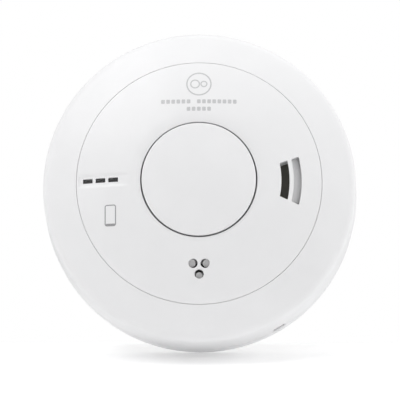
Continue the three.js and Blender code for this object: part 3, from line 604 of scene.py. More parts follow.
def shoulder(steps=28):
    """The rounding from the dome into the skirt, as a curve tangent to both."""
    start = (SHOULDER_RADIUS, sphere_height(SHOULDER_RADIUS))
    slope = SHOULDER_RADIUS / (start[1] - DEPTH + FACE_SPHERE)
    run = side_radius(0) - SHOULDER_RADIUS
    corner_height = (start[1] - slope * run) / (1 - slope * SIDE_DRAFT)
    corner = (side_radius(corner_height), corner_height)
    end = (side_radius(CREASE_HEIGHT), CREASE_HEIGHT)
    points = []
    for step in range(1, steps + 1):
        t = step / steps
        weights = ((1 - t) ** 2, 2 * t * (1 - t), t**2)
        curve = [sum(w * p[axis] for w, p in zip(weights, (start, corner, end))) for axis in (0, 1)]
        points.append((*curve, 0))
    return points


def release_notch(corner):
    """The slot in the back edge of the skirt that shows the release catch, in the slide frame."""
    half = RELEASE_SLOT_WIDTH / 2
    foot = HEAD_BACK - 3
    top = RELEASE_SLOT_TOP
    outline = rounded([(-half, foot, 0), (half, foot, 0), (half, top, corner), (-half, top, corner)])
    tool = raised(outline, [(-RADIUS - 2, 0), (-RELEASE_SLOT_FROM, 0)])
    stand_up = Matrix(((0, 0, 1, 0), (1, 0, 0, 0), (0, 1, 0, 0), (0, 0, 0, 1)))
    return moved(tool, stand_up)


def outer_cover():
    rim = SEAM_RADIUS + SEAM_GAP / 2
    dome = face_arc(rim, SHOULDER_RADIUS)
    dome[0] = (*dome[0][:2], SEAM_EDGE)
    shell = turned(
        [
            (rim, sphere_height(rim, LEDGE_INSET), 0),
            *dome,
            *shoulder(),
            *((side_radius(height), height, 0) for height in SKIRT_RINGS),
            (HEAD_RADIUS, HEAD_BACK, 0.35),
            (HEAD_RADIUS - WALL, HEAD_BACK, 0.25),
            (side_radius(CREASE_HEIGHT) - WALL, CREASE_HEIGHT - WALL, 1.0),
            (SHOULDER_RADIUS - WALL, sphere_height(SHOULDER_RADIUS - WALL, WALL), 1.5),
            (SEAM_RADIUS + WALL, sphere_height(SEAM_RADIUS + WALL, WALL), 0.3),
            (SEAM_RADIUS, sphere_height(SEAM_RADIUS, LEDGE_INSET + WALL), 0),
            (LEDGE_RADIUS, sphere_height(LEDGE_RADIUS, LEDGE_INSET + WALL), 0.2),
            (LEDGE_RADIUS, sphere_height(LEDGE_RADIUS, LEDGE_INSET), 0.2),
        ]
    )
    centres = [polar(HOUSING_SCREW_RADIUS, angle) for angle in HOUSING_SCREW_ANGLES]
    boss_top = sphere_height(HOUSING_SCREW_RADIUS + 4, WALL / 2)
    bosses = [rod(centre, COVER_BOSS_RADIUS, (COVER_BOSS_BOTTOM, boss_top), 0.2) for centre in centres]
    hole_span = (COVER_BOSS_BOTTOM - 1, COVER_HOLE_TOP)
    holes = [rod(centre, SCREW_HOLE_RADIUS, hole_span) for centre in centres]
    return cut(joined(shell, *bosses), *holes, moved(release_notch(0.5), SLIDE_TO_FACE))


# -------- fascia

COLLAR_FLANGE = 1.5
FLANGE_RADIUS = 20.4
DIP_STEPS = 14

# The legs' and barbs' radii, and the heights of the foot, the barb's top and the leg's top.
FASCIA_CLIPS = {
    "leg": (LEDGE_RADIUS - 2.4, LEDGE_RADIUS - 0.5),
    "barb": (LEDGE_RADIUS - 2, LEDGE_RADIUS + 1),
    "width": 6.0,
    "heights": (32.8, 34.3, 39.5),
    "angles": (45, 135, 225, 315),
}

GAS_HOLE_RADIUS = 2.0
GAS_HOLE_EDGE = 0.22
GAS_HOLE_SPACING = 5.2  # three holes on an equilateral triangle, two above and one below
GAS_CENTRE = centre_of("co_sensor")
GAS_HOLE_CENTRES = [
    tuple(np.add(GAS_CENTRE, polar(GAS_HOLE_SPACING / math.sqrt(3), angle))) for angle in (30, 150, 270)
]
INDICATOR_CORNER = 0.2
INDICATOR_EDGE = 0.12

LID_TOP = spans("sounder_lid")[2][1]

# The sounder's two windows are arcs around the button, with ends on rays from a point beside it.
SOUNDER_WINDOWS = ((36.0, 39.6), (41.45, 44.9))
WINDOW_RAY_ORIGIN = 17.0
WINDOW_RAY_SLOPE = 0.402
WINDOW_CORNER = 0.3
WINDOW_EDGE = 0.2
END_WALL_FROM = 35.2
END_WALL_TO = 40.6
END_WALL_THICKNESS = 1.2
END_WALL_SLOPE = 0.35  # how far the end wall leans into the opening at its foot


def window_end(radius, side):
    """The point of a window's end, above (1) or below (-1), that is this far from the button's middle."""
    square = 1 + WINDOW_RAY_SLOPE**2
    root = math.sqrt(WINDOW_RAY_ORIGIN**2 - square * (WINDOW_RAY_ORIGIN**2 - radius**2))
    run = (root - WINDOW_RAY_ORIGIN) / square
    return (WINDOW_RAY_ORIGIN + run, side * WINDOW_RAY_SLOPE * run)


def window_half_angle(radius):
    x, y = window_end(radius, 1)
    return math.degrees(math.atan2(y, x))


def sector(radii, half_angle, corner, steps):
    """The outline between two arcs whose ends lie half_angle(radius) degrees from the x axis."""
    corners = []
    for radius, direction in zip(reversed(radii), (1, -1)):
        for step in range(steps + 1):
            angle = half_angle(radius) * direction * (2 * step / steps - 1)
            corners.append((*polar(radius, angle), corner if step in (0, steps) else 0))
    return rounded(corners)


def window_end_wall(side):
    """A wall behind an end of the inner window, down to the sounder, that keeps its sound in."""
    near, far = (window_end(radius, side) for radius in (END_WALL_FROM, END_WALL_TO))
    outline = [(*near, 1), (*far, 1), (far[0], far[1] + side * END_WALL_THICKNESS, 0)]
    outline.append((near[0], near[1] + side * END_WALL_THICKNESS, 0))
    top = [(x, y, front_height(x, y) - WALL / 2) for x, y, _ in outline]
    foot = [(x, y - side * END_WALL_SLOPE * leans, LID_TOP + FIT) for x, y, leans in outline]
    sides = [[i, (i + 1) % 4, (i + 1) % 4 + 4, i + 4] for i in range(4)]
    return closed_mesh(top + foot, [[0, 1, 2, 3], [4, 5, 6, 7], *sides])


def spring_clips(leg, barb, width, heights, angles):
    """Springy legs with barbs at their feet that catch under a ledge."""
    foot, barb_top, leg_top = heights
    clip = joined(
        block(leg, around(0, width), (foot, leg_top), 0.2),
        block(barb, around(0, width), (foot, barb_top), 0.2),
    )
    return [spun(clip, angle) for angle in angles]


def fascia():
    rim = SEAM_RADIUS - SEAM_GAP / 2
    front = face_arc(rim, DIP_START, step=0.5)
    front[0] = (*front[0][:2], SEAM_EDGE)
    for step in range(1, DIP_STEPS + 1):
        radius = DIP_START + (COLLAR_RADIUS - DIP_START) * step / DIP_STEPS
        front.append((radius, front_height(radius, 0.0), 0))
    front[-1] = (*front[-1][:2], COLLAR_EDGE)
    back = face_arc(COLLAR_RADIUS + WALL, SEAM_RADIUS - FIT / 2, inset=WALL, step=3)
    disc = turned(
        [
            (FLANGE_RADIUS, COLLAR_BOTTOM, 0.2),
            (COLLAR_RADIUS + WALL, COLLAR_BOTTOM, 0.3),
            *back,
            (rim, back[-1][1] + 0.2, 0),
            *front,
            (COLLAR_RADIUS, COLLAR_BOTTOM + COLLAR_FLANGE, 0.3),
            (FLANGE_RADIUS, COLLAR_BOTTOM + COLLAR_FLANGE, 0.2),
        ]
    )
    lower_around_indicators(disc)
    holes = [(circle(centre, GAS_HOLE_RADIUS), GAS_HOLE_EDGE) for centre in GAS_HOLE_CENTRES]
    for centre in INDICATOR_CENTRES:
        holes.append((rectangle(centre, *INDICATOR_SLOT, INDICATOR_CORNER), INDICATOR_EDGE))
    for radii in SOUNDER_WINDOWS:
        holes.append((sector(radii, window_half_angle, WINDOW_CORNER, steps=24), WINDOW_EDGE))
    tools = [opening(outline, edge, COLLAR_BOTTOM - 3) for outline, edge in holes]
    pierced = cut(joined(disc, *spring_clips(**FASCIA_CLIPS)), *tools)
    return joined(pierced, window_end_wall(1), window_end_wall(-1))


def lower_around_indicators(disc):
    """Sinks the indicators' hollow into the front of the disc."""
    for vertex in disc.vertices:
        x, y, z = vertex.co
        if z > sphere_height(math.hypot(x, y), WALL / 2):
            vertex.co.z -= indicator_hollow(x, y)


# -------- test button

BUTTON_TRAVEL = 1.0
BUTTON_SKIRT = 1.8  # the thickness of its wall
BUTTON_SKIRT_BOTTOM = COLLAR_BOTTOM + COLLAR_FLANGE + BUTTON_TRAVEL + 0.9
BUTTON_CLIPS = {
    "leg": (FLANGE_RADIUS - 1.9, FLANGE_RADIUS - 0.4),
    "barb": (FLANGE_RADIUS - 1.9, FLANGE_RADIUS + 1),
    "width": 5.0,
    "heights": (COLLAR_BOTTOM - FIT - 1.3, COLLAR_BOTTOM - FIT, 47.0),
    "angles": (60, 180, 300),
}
BUTTON_POST_RADIUS = 3.0
BUTTON_POST = (spans("test_switch_plunger")[2][1] + FIT, 48.0)


def test_button():
    skin = BUTTON_RADIUS - BUTTON_SKIRT
    front = face_arc(0, BUTTON_RADIUS, step=1)
    front[-1] = (*front[-1][:2], BUTTON_EDGE)
    cap = turned(
        [
            *front,
            (BUTTON_RADIUS, BUTTON_SKIRT_BOTTOM, 0.2),
            (skin, BUTTON_SKIRT_BOTTOM, 0.2),
            (skin, sphere_height(skin, WALL), 0.4),
            *face_arc(skin - 1, 0, inset=WALL, step=4),
        ]
    )
    post = rod((0, 0), BUTTON_POST_RADIUS, BUTTON_POST, 0.3)
    return joined(cap, *spring_clips(**BUTTON_CLIPS), post)


# -------- behind the fascia's openings

SEAL_INSET = WALL + FIT + 0.05  # the baffle's pads end this far below the face
BAFFLE_RADIUS = 6.8
BAFFLE_PLATE = spans("gas_baffle")[2][0]
BAFFLE_HOLE_RADIUS = 2.3
BAFFLE_PAD_RADIUS = 1.7
BAFFLE_PAD_SHIFT = 0.2  # away from the middle, as a share of the gas hole's distance


def gas_baffle():
    """A disc with a pad behind each gas hole, which leaves a crescent open towards the middle."""
    plate = rod(GAS_CENTRE, BAFFLE_RADIUS, (BAFFLE_PLATE, BAFFLE_PLATE + 1), 0.15)
    pads = []
    for centre in GAS_HOLE_CENTRES:
        outward = np.subtract(centre, GAS_CENTRE) * BAFFLE_PAD_SHIFT
        pad = circle(tuple(np.add(centre, outward)), BAFFLE_PAD_RADIUS)
        levels = [
            (BAFFLE_PLATE + 0.3, 0),
            (under_front(SEAL_INSET + 0.3), 0),
            (under_front(SEAL_INSET + 0.09), -0.09),
            (under_front(SEAL_INSET), -0.3),
        ]
        pads.append(raised(pad, levels))
    hole = rod(GAS_CENTRE, BAFFLE_HOLE_RADIUS, (BAFFLE_PLATE - 1, BAFFLE_PLATE + 2))
    return joined(cut(plate, hole), *pads)


def paint_shade_on_all_but_front(piece):
    """Paints shade: every face of a piece that doesn't look forwards gets a second, black material, which
    stands in for the shade in the crescents behind the gas holes.
    """
    piece.data.materials.append(MATERIALS["black_plastic"])
    forwards = FACE_TO_ROW.col[2].xyz.normalized()
    for polygon in piece.data.polygons:
        if polygon.normal.dot(forwards) < 0.5 or polygon.area == 0:
            polygon.material_index = 1


LIGHT_PIPE_INSET = 0.5
LIGHT_PIPE_DOME = 0.2
LIGHT_PIPE_ROUNDING = 0.5


def light_pipe(centre, bottom):
    """A bar with a softly domed end, a little below the front."""
    width, height = (length - 2 * FIT for length in INDICATOR_SLOT)
    levels = [(bottom, 0)]
    for angle in QUARTER_TURN:
        depth = LIGHT_PIPE_INSET + LIGHT_PIPE_DOME * (1 - math.sin(angle))
        levels.append((under_front(depth), -LIGHT_PIPE_ROUNDING * (1 - math.cos(angle))))
    return raised(rectangle(centre, width, height, 0.25), levels)


SOUNDER_CENTRE = centre_of("sounder_lid")
SOUNDER_RADIUS = size(spans("sounder_lid")[1]) / 2
SOUNDER_SIDES = 160
SOUND_HOLE_RADIUS = 3.0
LID_PLUG = (12.6, SOUNDER_RADIUS - 1.9)  # inner and outer radius of the ring that enters the chamber
LID_THICKNESS = 1.2


def sounder_lid():
    inner, outer = LID_PLUG
    under = LID_TOP - LID_THICKNESS
    foot = spans("sounder_lid")[2][0]
    lid = turned(
        [
            (0, under, 0),
            (inner, under, 0.2),
            (inner, foot, 0.2),
            (outer, foot, 0.2),
            (outer, under, 0),
            (SOUNDER_RADIUS, under, 0.2),
            (SOUNDER_RADIUS, LID_TOP, 0.35),
            (0, LID_TOP, 0),
        ],
        SOUNDER_SIDES,
        SOUNDER_CENTRE,
    )
    return cut(lid, rod(SOUNDER_CENTRE, SOUND_HOLE_RADIUS, (under - 3, LID_TOP + 2)))


DEFLECTOR_RADII = (41.0, 46.0)
DEFLECTOR_LIP = 0.8
DEFLECTOR_REACH = math.atan2(12, 30)  # half of its arc


def sound_deflector():
    """A sloped bar under the outer window that throws the sound forwards."""
    inner, outer = DEFLECTOR_RADII
    bottom, top = spans("sound_deflector")[2]
    lip = bottom + DEFLECTOR_LIP
    section = [(inner, bottom, 0), (outer, bottom, 0), (outer, lip, 0.3), (inner, top, 0.4)]
    return turned(section, sides=60, arc=(-DEFLECTOR_REACH, DEFLECTOR_REACH))


# -------- base plate, in the slide frame

HOOK_POSTS = [(x, y) for x in (30, -30) for y in (30, -30)]
HOOK_WIDTH = 8.0
HOOK_POST = 2.0
HOOK_REACH = 9.0
HEAD_FLOOR = 2.0
HOOK_LIP = (HEAD_BACK + HEAD_FLOOR + 0.35, HEAD_BACK + HEAD_FLOOR + 2.1)
CABLE_ENTRY = {"centre": (-27.0, 0.0), "width": 24.0, "height": 28.0, "radius": 3.0}
WALL_SCREW_SLOTS = ((0.0, 44.0), (0.0, -44.0))
WALL_SCREW_SLOT = (4.6, 12.0)

BLOCK_HALF_WIDTH = 15.4  # of the terminal block
BLOCK_FLANGE_HALF_WIDTH = 17.0
BLOCK_FLANGE_TOP = 6.0
BLOCK_CLIP_WIDTH = 8.0
BLOCK_CLIP_TOP = BLOCK_FLANGE_TOP + FIT + 1.4

CATCH_X = -46.0
CATCH_HEIGHT = 5.5
CATCH_RADIUS = 2.5
CATCH_HALF_LENGTH = 5.2
CRADLE_LENGTH = 8.4
CRADLE_END_WALL = 1.8
CRADLE_TOP = 8.2


def hook(x, y):
    post = block((x - HOOK_POST, x), around(y, HOOK_WIDTH), (BASE_FLOOR / 2, HOOK_LIP[1]), 0.3)
    lip = block((x - HOOK_POST, x + HOOK_REACH), around(y, HOOK_WIDTH), HOOK_LIP, 0.3)
    return joined(post, lip)


def block_clip(side):
    """A springy upright beside the terminal block, with a nib over the block's flange."""

    def across(near, far):
        return tuple(sorted((side * near, side * far)))

    outside = BLOCK_FLANGE_HALF_WIDTH + FIT
    x_span = around(0, BLOCK_CLIP_WIDTH)
    upright = block(x_span, across(outside, outside + 1.3), (BASE_FLOOR / 2, BLOCK_CLIP_TOP), 0.2)
    nib_span = across(BLOCK_HALF_WIDTH + FIT, outside + 0.5)
    nib = block(x_span, nib_span, (BLOCK_FLANGE_TOP + FIT, BLOCK_CLIP_TOP), 0.2)
    return joined(upright, nib)


def catch_cradle():
    """An open-topped bearing for the catch's barrel, open towards the rim for the catch's arm."""
    inside = around(0, 2 * (CATCH_HALF_LENGTH + FIT))
    outside = around(0, 2 * (CATCH_HALF_LENGTH + CRADLE_END_WALL))
    cradle = block(around(CATCH_X, CRADLE_LENGTH), outside, (BASE_FLOOR / 2, CRADLE_TOP), 0.3)
    bearing = bar_along_y((CATCH_X, CATCH_HEIGHT), CATCH_RADIUS + FIT, inside)
    mouth = block(around(CATCH_X, 2 * CATCH_RADIUS - 0.4), inside, (CATCH_HEIGHT, CRADLE_TOP + 0.8), 0)
    arm_width = around(0, CATCH_ARM_WIDTH + 1)
    arm_way = block((CATCH_X - 6, CATCH_X), arm_width, (CATCH_ARM[0] - 1.5, CRADLE_TOP + 0.8), 0)
    return cut(cradle, bearing, mouth, arm_way)


def grooved_hole(outline, low, high, width):
    """A tool for a hole through a flat floor, with a fine groove around each of its ends."""
    angles = [math.radians(90) * step / 4 for step in range(5)]
    rise = TOOL_RISE / 2
    lower = [(low + width * math.cos(a) - rise, width * (1 - math.sin(a))) for a in angles]
    upper = [(high - width * math.cos(a) + rise, width * (1 - math.sin(a))) for a in reversed(angles)]
    return raised(outline, [(low - 1, width), *lower, *upper, (high + 1, width)])


BACK_POCKETS = 12  # shallow pockets moulded into the back, between ribs
BACK_POCKET_RADII = (53.0, 66.0)
BACK_POCKET_DEPTH = 0.7
BACK_RIB = 3.0
PIN_MARK_ANGLES = (35, 90, 145, 215, 270, 325)  # round marks of the mould's ejector pins
PIN_MARK_CIRCLE = 30
PIN_MARK_RADIUS = 2.4


def back_pocket(index):
    """A shallow sector, rounded at its corners, that leaves a rib on each side."""
    pitch, depth = 360 / BACK_POCKETS, BACK_POCKET_DEPTH
    levels = [(-1, 0.15), (0, 0.15), (0.15, 0), (depth - 0.3, -0.02), (depth - 0.08, -0.1), (depth, -0.3)]

    def half_angle(radius):
        return pitch / 2 - math.degrees(BACK_RIB / 2 / radius)

    outline = sector(BACK_POCKET_RADII, half_angle, corner=1.0, steps=12)
    return spun(raised(outline, levels), (index + 0.5) * pitch)


def base_plate():
    dish = turned(
        [
            (0, 0, 0),
            (RADIUS, 0, 0.4),
            (RADIUS, BASE_HEIGHT, 0.45),
            (RADIUS - WALL, BASE_HEIGHT, 0.3),
            (RADIUS - WALL, BASE_FLOOR, 0.8),
            (0, BASE_FLOOR, 0),
        ]
    )
    entry = rectangle(*CABLE_ENTRY.values(), steps=8)
    slot_corner = WALL_SCREW_SLOT[0] / 2 - 0.01  # the rounding takes up nearly the whole width
    slots = [rectangle(centre, *WALL_SCREW_SLOT, slot_corner, steps=12) for centre in WALL_SCREW_SLOTS]
    holes = [grooved_hole(outline, 0, BASE_FLOOR, 0.3) for outline in (entry, *slots)]
    pockets = [back_pocket(index) for index in range(BACK_POCKETS)]
    pin_centres = [polar(PIN_MARK_CIRCLE, angle) for angle in PIN_MARK_ANGLES]
    pin_marks = [rod(centre, PIN_MARK_RADIUS, (-1, 0.12), 0.05) for centre in pin_centres]
    opened = cut(dish, *holes, *pockets, *pin_marks)
    hooks = [hook(x, y) for x, y in HOOK_POSTS]
    return joined(opened, *hooks, block_clip(1), block_clip(-1), catch_cradle())


# -------- release catch, in the slide frame

CATCH_NOSE_OUTER = -65.8
CATCH_NOSE_INNER = -61.0
CATCH_NOSE_HALF_WIDTH = 2.4
CATCH_NOSE_TOP = RELEASE_SLOT_TOP - 0.6
CATCH_RIB_PITCH = 1.05
CATCH_RIB_END = -69.8  # the ribs reach out over the base plate's rim
CATCH_RIB_BOTTOM = BASE_HEIGHT + 2.3  # and stay clear of it when the catch is pushed down
CATCH_RIB_WIDTH = 0.5
CATCH_ARM = (4.6, 6.4)
CATCH_ARM_WIDTH = 6.8


def release_catch():
    barrel = bar_along_y((CATCH_X, CATCH_HEIGHT), CATCH_RADIUS, around(0, 2 * CATCH_HALF_LENGTH), 0.3)
    arm = block((CATCH_NOSE_OUTER - 0.8, CATCH_X), around(0, CATCH_ARM_WIDTH), CATCH_ARM, 0.3)
    nose_x = (CATCH_NOSE_OUTER, CATCH_NOSE_INNER)
    nose = block(nose_x, around(0, 2 * CATCH_NOSE_HALF_WIDTH), (CATCH_ARM[0], CATCH_NOSE_TOP), 0.3)
    rib_x = (CATCH_RIB_END, CATCH_NOSE_OUTER + 0.5)
    rib_z = (CATCH_RIB_BOTTOM, CATCH_NOSE_TOP - 0.3)
    rib_places = [step * CATCH_RIB_PITCH for step in range(-2, 3)]
    ribs = [block(rib_x, around(y, CATCH_RIB_WIDTH), rib_z, 0.12) for y in rib_places]
    return joined(barrel, arm, nose, *ribs)


# -------- rear housing, in the slide frame

POCKET_X = (-27.5, 14.0)  # clears the terminal block over the whole slide
POCKET_HALF_WIDTH = 19.0
POCKET_TOP = 18.2
POCKET_WALL = 1.6
HOUSING_WALL = (64.9, 66.7)
HOUSING_WALL_TOP = 20.0
PCB_SCREW_RADIUS = 51.0
PCB_SCREW_ANGLES = (20, 130, 270)
PCB_BOTTOM = spans("main_pcb")[2][0]
HOUSING_SCREW_SEAT = 12.7  # height of the face that the screw's head bears on
BLADE_HEIGHT = 12.8
BLADE_SPACING = 9.6
BLADE_SLOT = (3.7, 1.5)
BOARD_POST_RADIUS = 2.8
BOARD_HOLE_RADIUS = 1.5
SEAT_RADIUS = 4.4
SCREW_HEAD_RADIUS = 3.2


def hook_window(x, y):
    """A hole in the housing's floor for a hook, long enough for the whole slide."""
    centre = (x - HOOK_POST / 2 - SLIDE_TRAVEL / 2 - 0.1, y)
    outline = rectangle(centre, SLIDE_TRAVEL + 3, HOOK_WIDTH + 1, 0.6)
    return grooved_hole(outline, HEAD_BACK, HEAD_BACK + HEAD_FLOOR, 0.25)


def blade_slot(y):
    width, height = BLADE_SLOT
    return block((POCKET_X[1] - 1, POCKET_X[1] + 3), around(y, width), around(BLADE_HEIGHT, height), 0)


def rear_housing():
    inner, outer = HOUSING_WALL
    floor_top = HEAD_BACK + HEAD_FLOOR
    tray = turned(
        [
            (0, HEAD_BACK, 0),
            (outer, HEAD_BACK, 0.4),
            (outer, HOUSING_WALL_TOP, 0.2),
            (inner, HOUSING_WALL_TOP, 0.2),
            (inner, floor_top, 0.6),
            (0, floor_top, 0),
        ]
    )
    outside_x = (POCKET_X[0] - POCKET_WALL, POCKET_X[1] + POCKET_WALL)
    outside_y = around(0, 2 * (POCKET_HALF_WIDTH + POCKET_WALL))
    shell = block(outside_x, outside_y, (HEAD_BACK + 0.5, POCKET_TOP + POCKET_WALL), 0.5)
    pocket = block(POCKET_X, around(0, 2 * POCKET_HALF_WIDTH), (HEAD_BACK - 2, POCKET_TOP), 0.5)
    board_screws = [polar(PCB_SCREW_RADIUS, angle) for angle in PCB_SCREW_ANGLES]
    post_span = (HEAD_BACK + 1, PCB_BOTTOM - FIT)
    board_posts = [rod(centre, BOARD_POST_RADIUS, post_span, 0.2) for centre in board_screws]
    cover_screws = [polar(HOUSING_SCREW_RADIUS, angle) for angle in HOUSING_SCREW_ANGLES]
    seat_span = (HEAD_BACK + 0.5, COVER_BOSS_BOTTOM - FIT)
    seats = [rod(centre, SEAT_RADIUS, seat_span, 0.2) for centre in cover_screws]
    openings = [
        pocket,
        *(hook_window(x, y) for x, y in HOOK_POSTS),
        *(blade_slot(y) for y in (-BLADE_SPACING, 0, BLADE_SPACING)),
        *(rod(centre, BOARD_HOLE_RADIUS, (14, PCB_BOTTOM)) for centre in board_screws),
        *(rod(centre, SCREW_HOLE_RADIUS, (HEAD_BACK, 20)) for centre in cover_screws),
        *(rod(centre, SCREW_HEAD_RADIUS, (HEAD_BACK - 1, HOUSING_SCREW_SEAT)) for centre in cover_screws),
        release_notch(0.2),
    ]
    return cut(joined(tray, shell, *board_posts, *seats), *openings)


# -------- pieces carried over from the CAD

REFINED_EDGE = 0.15


def refined(node):
    """A copy of a CAD node with its flat faces merged and its edges rounded."""
    work = bmesh.new()
    work.from_mesh(frame["nodes"][node].data)
    bmesh.ops.remove_doubles(work, verts=work.verts, dist=0.002 * MM)
    bmesh.ops.dissolve_limit(work, angle_limit=math.radians(1), verts=work.verts, edges=work.edges)
    edges = [e for e in work.edges if len(e.link_faces) == 2 and e.calc_face_angle() > math.radians(40)]
    settings = {"segments": 2, "profile": 0.5, "affect": "EDGES", "clamp_overlap": True}
    bmesh.ops.bevel(work, geom=edges, offset=REFINED_EDGE * MM, **settings)
    return finished(work)


# -------- printed marks on the fascia

INK_THICKNESS = 0.03
MARK_CENTRE = (0.0, 43.4)
MARK_RADIUS = 5.3
MARK_CIRCLES = ((-1.7, 1.9, 48), (2.2, 1.3, 40))  # offset to the side, radius and sides of each
MARK_RING_LINE = 0.6
MARK_LINE = 0.55
CAPTION_LINES = ((35.0, (6, 8)), (31.5, (5,)))  # height of each row, and blocks in each of its groups
BLOCK_PITCH = 2.25
INK_BLOCK = (1.6, 1.9)
PHONE_CENTRE = (-38.6, -15.4)
PHONE = (4.6, 8.9)
PHONE_LINE = 0.45
PHONE_CHIN = 0.9

INK_FOOT = under_front(INK_THICKNESS)
INK_TOP = under_front(-INK_THICKNESS)


def ribbon(path, width):
    """A thin closed loop of ink along a closed path of points on the fascia."""
    half = width / 2
    return raised(path, [(INK_FOOT, half), (INK_TOP, half), (INK_TOP, -half), (INK_FOOT, -half)], ring=True)


def ink_patch(outline):
    return raised(outline, [(INK_FOOT, 0), (INK_TOP, 0)])


def dense(outline, step=0.5):
    """The outline with points no further apart than the step."""
    points = []
    for start, end in zip(outline, outline[1:] + outline[:1]):
        pieces = max(1, math.ceil(math.dist(start, end) / step))
        points += [tuple(np.add(start, np.subtract(end, start) * i / pieces)) for i in range(pieces)]
    return points


def molecule_mark():
    """A ring around two circles of different size side by side, a plain sign for the gas."""
    x, y = MARK_CENTRE
    ring = ribbon(circle(MARK_CENTRE, MARK_RADIUS, 96), MARK_RING_LINE)
    atoms = [circle((x + shift, y), radius, sides) for shift, radius, sides in MARK_CIRCLES]
    return joined(ring, *(ribbon(atom, MARK_LINE) for atom in atoms))


def caption_blocks():
    """Two rows of plain blocks where a caption would stand."""
    blocks = []
    for row_y, groups in CAPTION_LINES:
        slots = sum(groups) + len(groups) - 1
        x = -(slots - 1) * BLOCK_PITCH / 2
        for group in groups:
            for _ in range(group):
                blocks.append(ink_patch(rectangle((x, row_y), *INK_BLOCK, 0.35, 3)))
                x += BLOCK_PITCH
            x += BLOCK_PITCH
    return joined(*blocks)


def phone_mark():
    """A plain outline of a hand-held telephone with a thick lower edge."""
    width, height = PHONE
    body = ribbon(dense(rectangle(PHONE_CENTRE, width, height, 0.8)), PHONE_LINE)
    chin_centre = (PHONE_CENTRE[0], PHONE_CENTRE[1] - height / 2 + PHONE_CHIN / 2)
    chin = ink_patch(rectangle(chin_centre, width - 0.6, PHONE_CHIN, 0.3))
    return joined(body, chin)


# -------- the whole alarm

place("outer_cover_shell", outer_cover(), "head", "white_plastic", "outer_cover")
place("fascia_disc", fascia(), "head", "white_plastic", "fascia")
place("test_button_cap", test_button(), "button", "white_plastic", "test_button")
# the gas baffle's sides and back are painted black as shade, so that its crescents look dark
paint_shade_on_all_but_front(place("gas_baffle_pads", gas_baffle(), "head", "grey_plastic", "gas_baffle"))
place("sounder_lid_disc", sounder_lid(), "head", "black_plastic", "sounder_lid")
place("sound_deflector_bar", sound_deflector(), "head", "white_plastic", "sound_deflector")
place("base_plate_dish", base_plate(), "base", "white_plastic", "base_plate", SLIDE_TO_ROW)
# the catch's grey is partly its own colour and partly painted shade for its ribs down in the slot
place("release_catch_lever", release_catch(), "catch", "grey_plastic", "release_catch", SLIDE_TO_ROW)
place("rear_housing_tray", rear_housing(), "head", "white_plastic", "rear_housing", SLIDE_TO_ROW)
for node, centre in zip(INDICATORS, INDICATOR_CENTRES):
    place(f"{node}_bar", light_pipe(centre, spans(node)[2][0]), "head", "smoked_plastic", node)

for name, shape, ink in (
    ("gas_mark", molecule_mark(), PALE_INK),
    ("caption_blocks", caption_blocks(), PALE_INK),
    ("phone_mark", phone_mark(), GREY_INK),
):
    mark = place(name, shape, "head", "grey_plastic")
    mark.data.materials[0] = ink

for part in frame["record"]["subparts"]:
    node = part["node"]
    if not frame["nodes"][node].hide_render:
        body = frame["nodes"][node]["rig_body"]
        place(f"{node}_piece", refined(node), body, part["material_slot"], node, Matrix())

# -------- floor, light and camera

FLOOR = -RADIUS * MM
FLOOR_REACH = 1.6
FLOOR_CREST = 0.04  # the floor is level behind this and slopes down in front, towards the low camera
FLOOR_BLEND = 0.03
FLOOR_SLOPE = math.tan(math.radians(18.4))


def floor_height(y):
    """A slope that passes under the object's lowest point and levels off behind it."""
    fall = max(0.0, FLOOR_CREST - y)
    crest_height = FLOOR + FLOOR_SLOPE * (FLOOR_CREST - FLOOR_BLEND / 2)
    if fall < FLOOR_BLEND:
        return crest_height - FLOOR_SLOPE * fall**2 / (2 * FLOOR_BLEND)
    return crest_height - FLOOR_SLOPE * (fall - FLOOR_BLEND / 2)


def make_floor():
    fine = [FLOOR_CREST - FLOOR_BLEND * step / 24 for step in range(25)]
    rows = [FLOOR_REACH, *fine, -FLOOR_REACH]
    vertices = [(side * FLOOR_REACH, y, floor_height(y)) for y in rows for side in (-1, 1)]
    faces = [[2 * i, 2 * i + 1, 2 * i + 3, 2 * i + 2] for i in range(len(rows) - 1)]
    mesh = bpy.data.meshes.new("floor")
    mesh.from_pydata(vertices, [], faces)
    mesh.shade_smooth()
    mesh.materials.append(floor_material())
    add_object("floor", mesh)


def floor_material():
    """Matt white paper, lit a little from within to stay white around the object."""
    nodes = Nodes("floor_paper")
    fibres = nodes.noise(4, detail=3)
    nodes.link(nodes.tint(fibres, (0.86, 0.86, 0.86), (0.88, 0.88, 0.88)), "Base Color")
    nodes.set("Roughness", 0.9)
    nodes.set("Specular IOR Level", 0.0)
    nodes.set("Emission Color", (1, 1, 1, 1))
    position = nodes.add("NewGeometry").outputs["Position"]
    distance = nodes.add("VectorMath", {0: position}, operation="LENGTH").outputs["Value"]
    reach = {"Value": distance, "From Min": RADIUS * MM, "From Max": 2 * RADIUS * MM}
    bounce = nodes.add("MapRange", {**reach, "To Min": NEAR_FLOOR_BOUNCE, "To Max": FLOOR_BOUNCE})
    seen = nodes.add("LightPath").outputs["Is Camera Ray"]
    glow = nodes.add("MapRange", {"Value": seen, "To Min": bounce.outputs["Result"], "To Max": FLOOR_GLOW})
    nodes.link(glow.outputs["Result"], "Emission Strength")
    return nodes.material


FLOOR_GLOW = 0.25  # what the floor adds to its own brightness where it is seen
FLOOR_BOUNCE = 0.05  # and what it adds to the light on the object
NEAR_FLOOR_BOUNCE = 0.21  # the same right under the object
SKY_LEVEL = 0.465
SKY_SIDES = 1.0  # how much brighter the studio is at the far left and right
SKY_RIGHT = 0.33  # and how much more so on the right than on the left


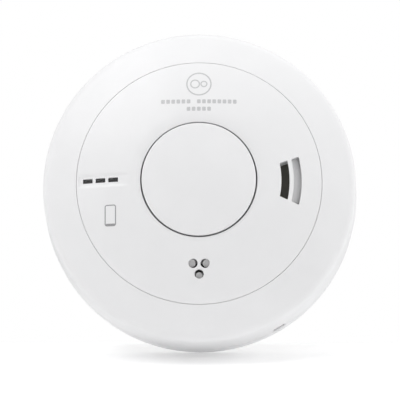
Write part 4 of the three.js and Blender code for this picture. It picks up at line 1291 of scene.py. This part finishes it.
def make_sky():
    """A studio with bright sides, pure white where the camera looks straight at it."""
    world = bpy.data.worlds.new("studio")
    world.use_nodes = True
    tree = world.node_tree

    def multiply_add(*values):
        return add_node(tree, "Math", dict(enumerate(values)), operation="MULTIPLY_ADD").outputs["Value"]

    direction = add_node(tree, "TexCoord").outputs["Generated"]
    across = add_node(tree, "SeparateXYZ", {0: direction}).outputs["X"]
    level = multiply_add(across, multiply_add(across, SKY_SIDES, SKY_RIGHT), SKY_LEVEL)
    seen = add_node(tree, "LightPath").outputs["Is Camera Ray"]
    hidden = add_node(tree, "Math", {0: 1.0, 1: seen}, operation="SUBTRACT").outputs["Value"]
    background = tree.nodes["Background"]
    background.inputs["Color"].default_value = (1, 1, 1, 1)
    tree.links.new(multiply_add(level, hidden, seen), background.inputs["Strength"])
    bpy.context.scene.world = world


def softbox(name, direction, distance, width, height, power):
    """A rectangular lamp that looks at the object."""
    lamp = bpy.data.lights.new(name, "AREA")
    lamp.shape = "RECTANGLE"
    lamp.size = width
    lamp.size_y = height
    lamp.energy = power
    light = add_object(name, lamp)
    light.location = Vector(direction).normalized() * distance
    light.rotation_euler = (-Vector(direction)).to_track_quat("-Z", "Y").to_euler()


CAMERA_DISTANCE = 1.0
CAMERA_AZIMUTH = math.radians(1.03)
CAMERA_ELEVATION = math.radians(-10.4)
CAMERA_LENS = 202.5  # focal length for a sensor 36 mm wide
CAMERA_AIM = Vector((0.15, -DEPTH / 2, -5.24)) * MM


def make_camera():
    side, rise = CAMERA_AZIMUTH, CAMERA_ELEVATION
    back = Vector((math.sin(side) * math.cos(rise), -math.cos(side) * math.cos(rise), math.sin(rise)))
    lens = bpy.data.cameras.new("camera")
    lens.lens = CAMERA_LENS
    lens.sensor_width = 36
    lens.clip_start = 0.05
    lens.clip_end = 20
    camera = add_object("camera", lens)
    camera.location = CAMERA_AIM + back * CAMERA_DISTANCE
    camera.rotation_euler = (-back).to_track_quat("-Z", "Y").to_euler()
    bpy.context.scene.camera = camera


make_floor()
make_sky()
softbox("overhead_softbox", (0.0, -0.2, 1.0), distance=0.9, width=1.2, height=0.7, power=2.8)
softbox("front_softbox", (-0.7, -0.8, 1.0), distance=1.2, width=0.7, height=0.7, power=4.5)
make_camera()
bpy.context.scene.view_settings.view_transform = "Standard"
bpy.context.scene.view_settings.look = "None"
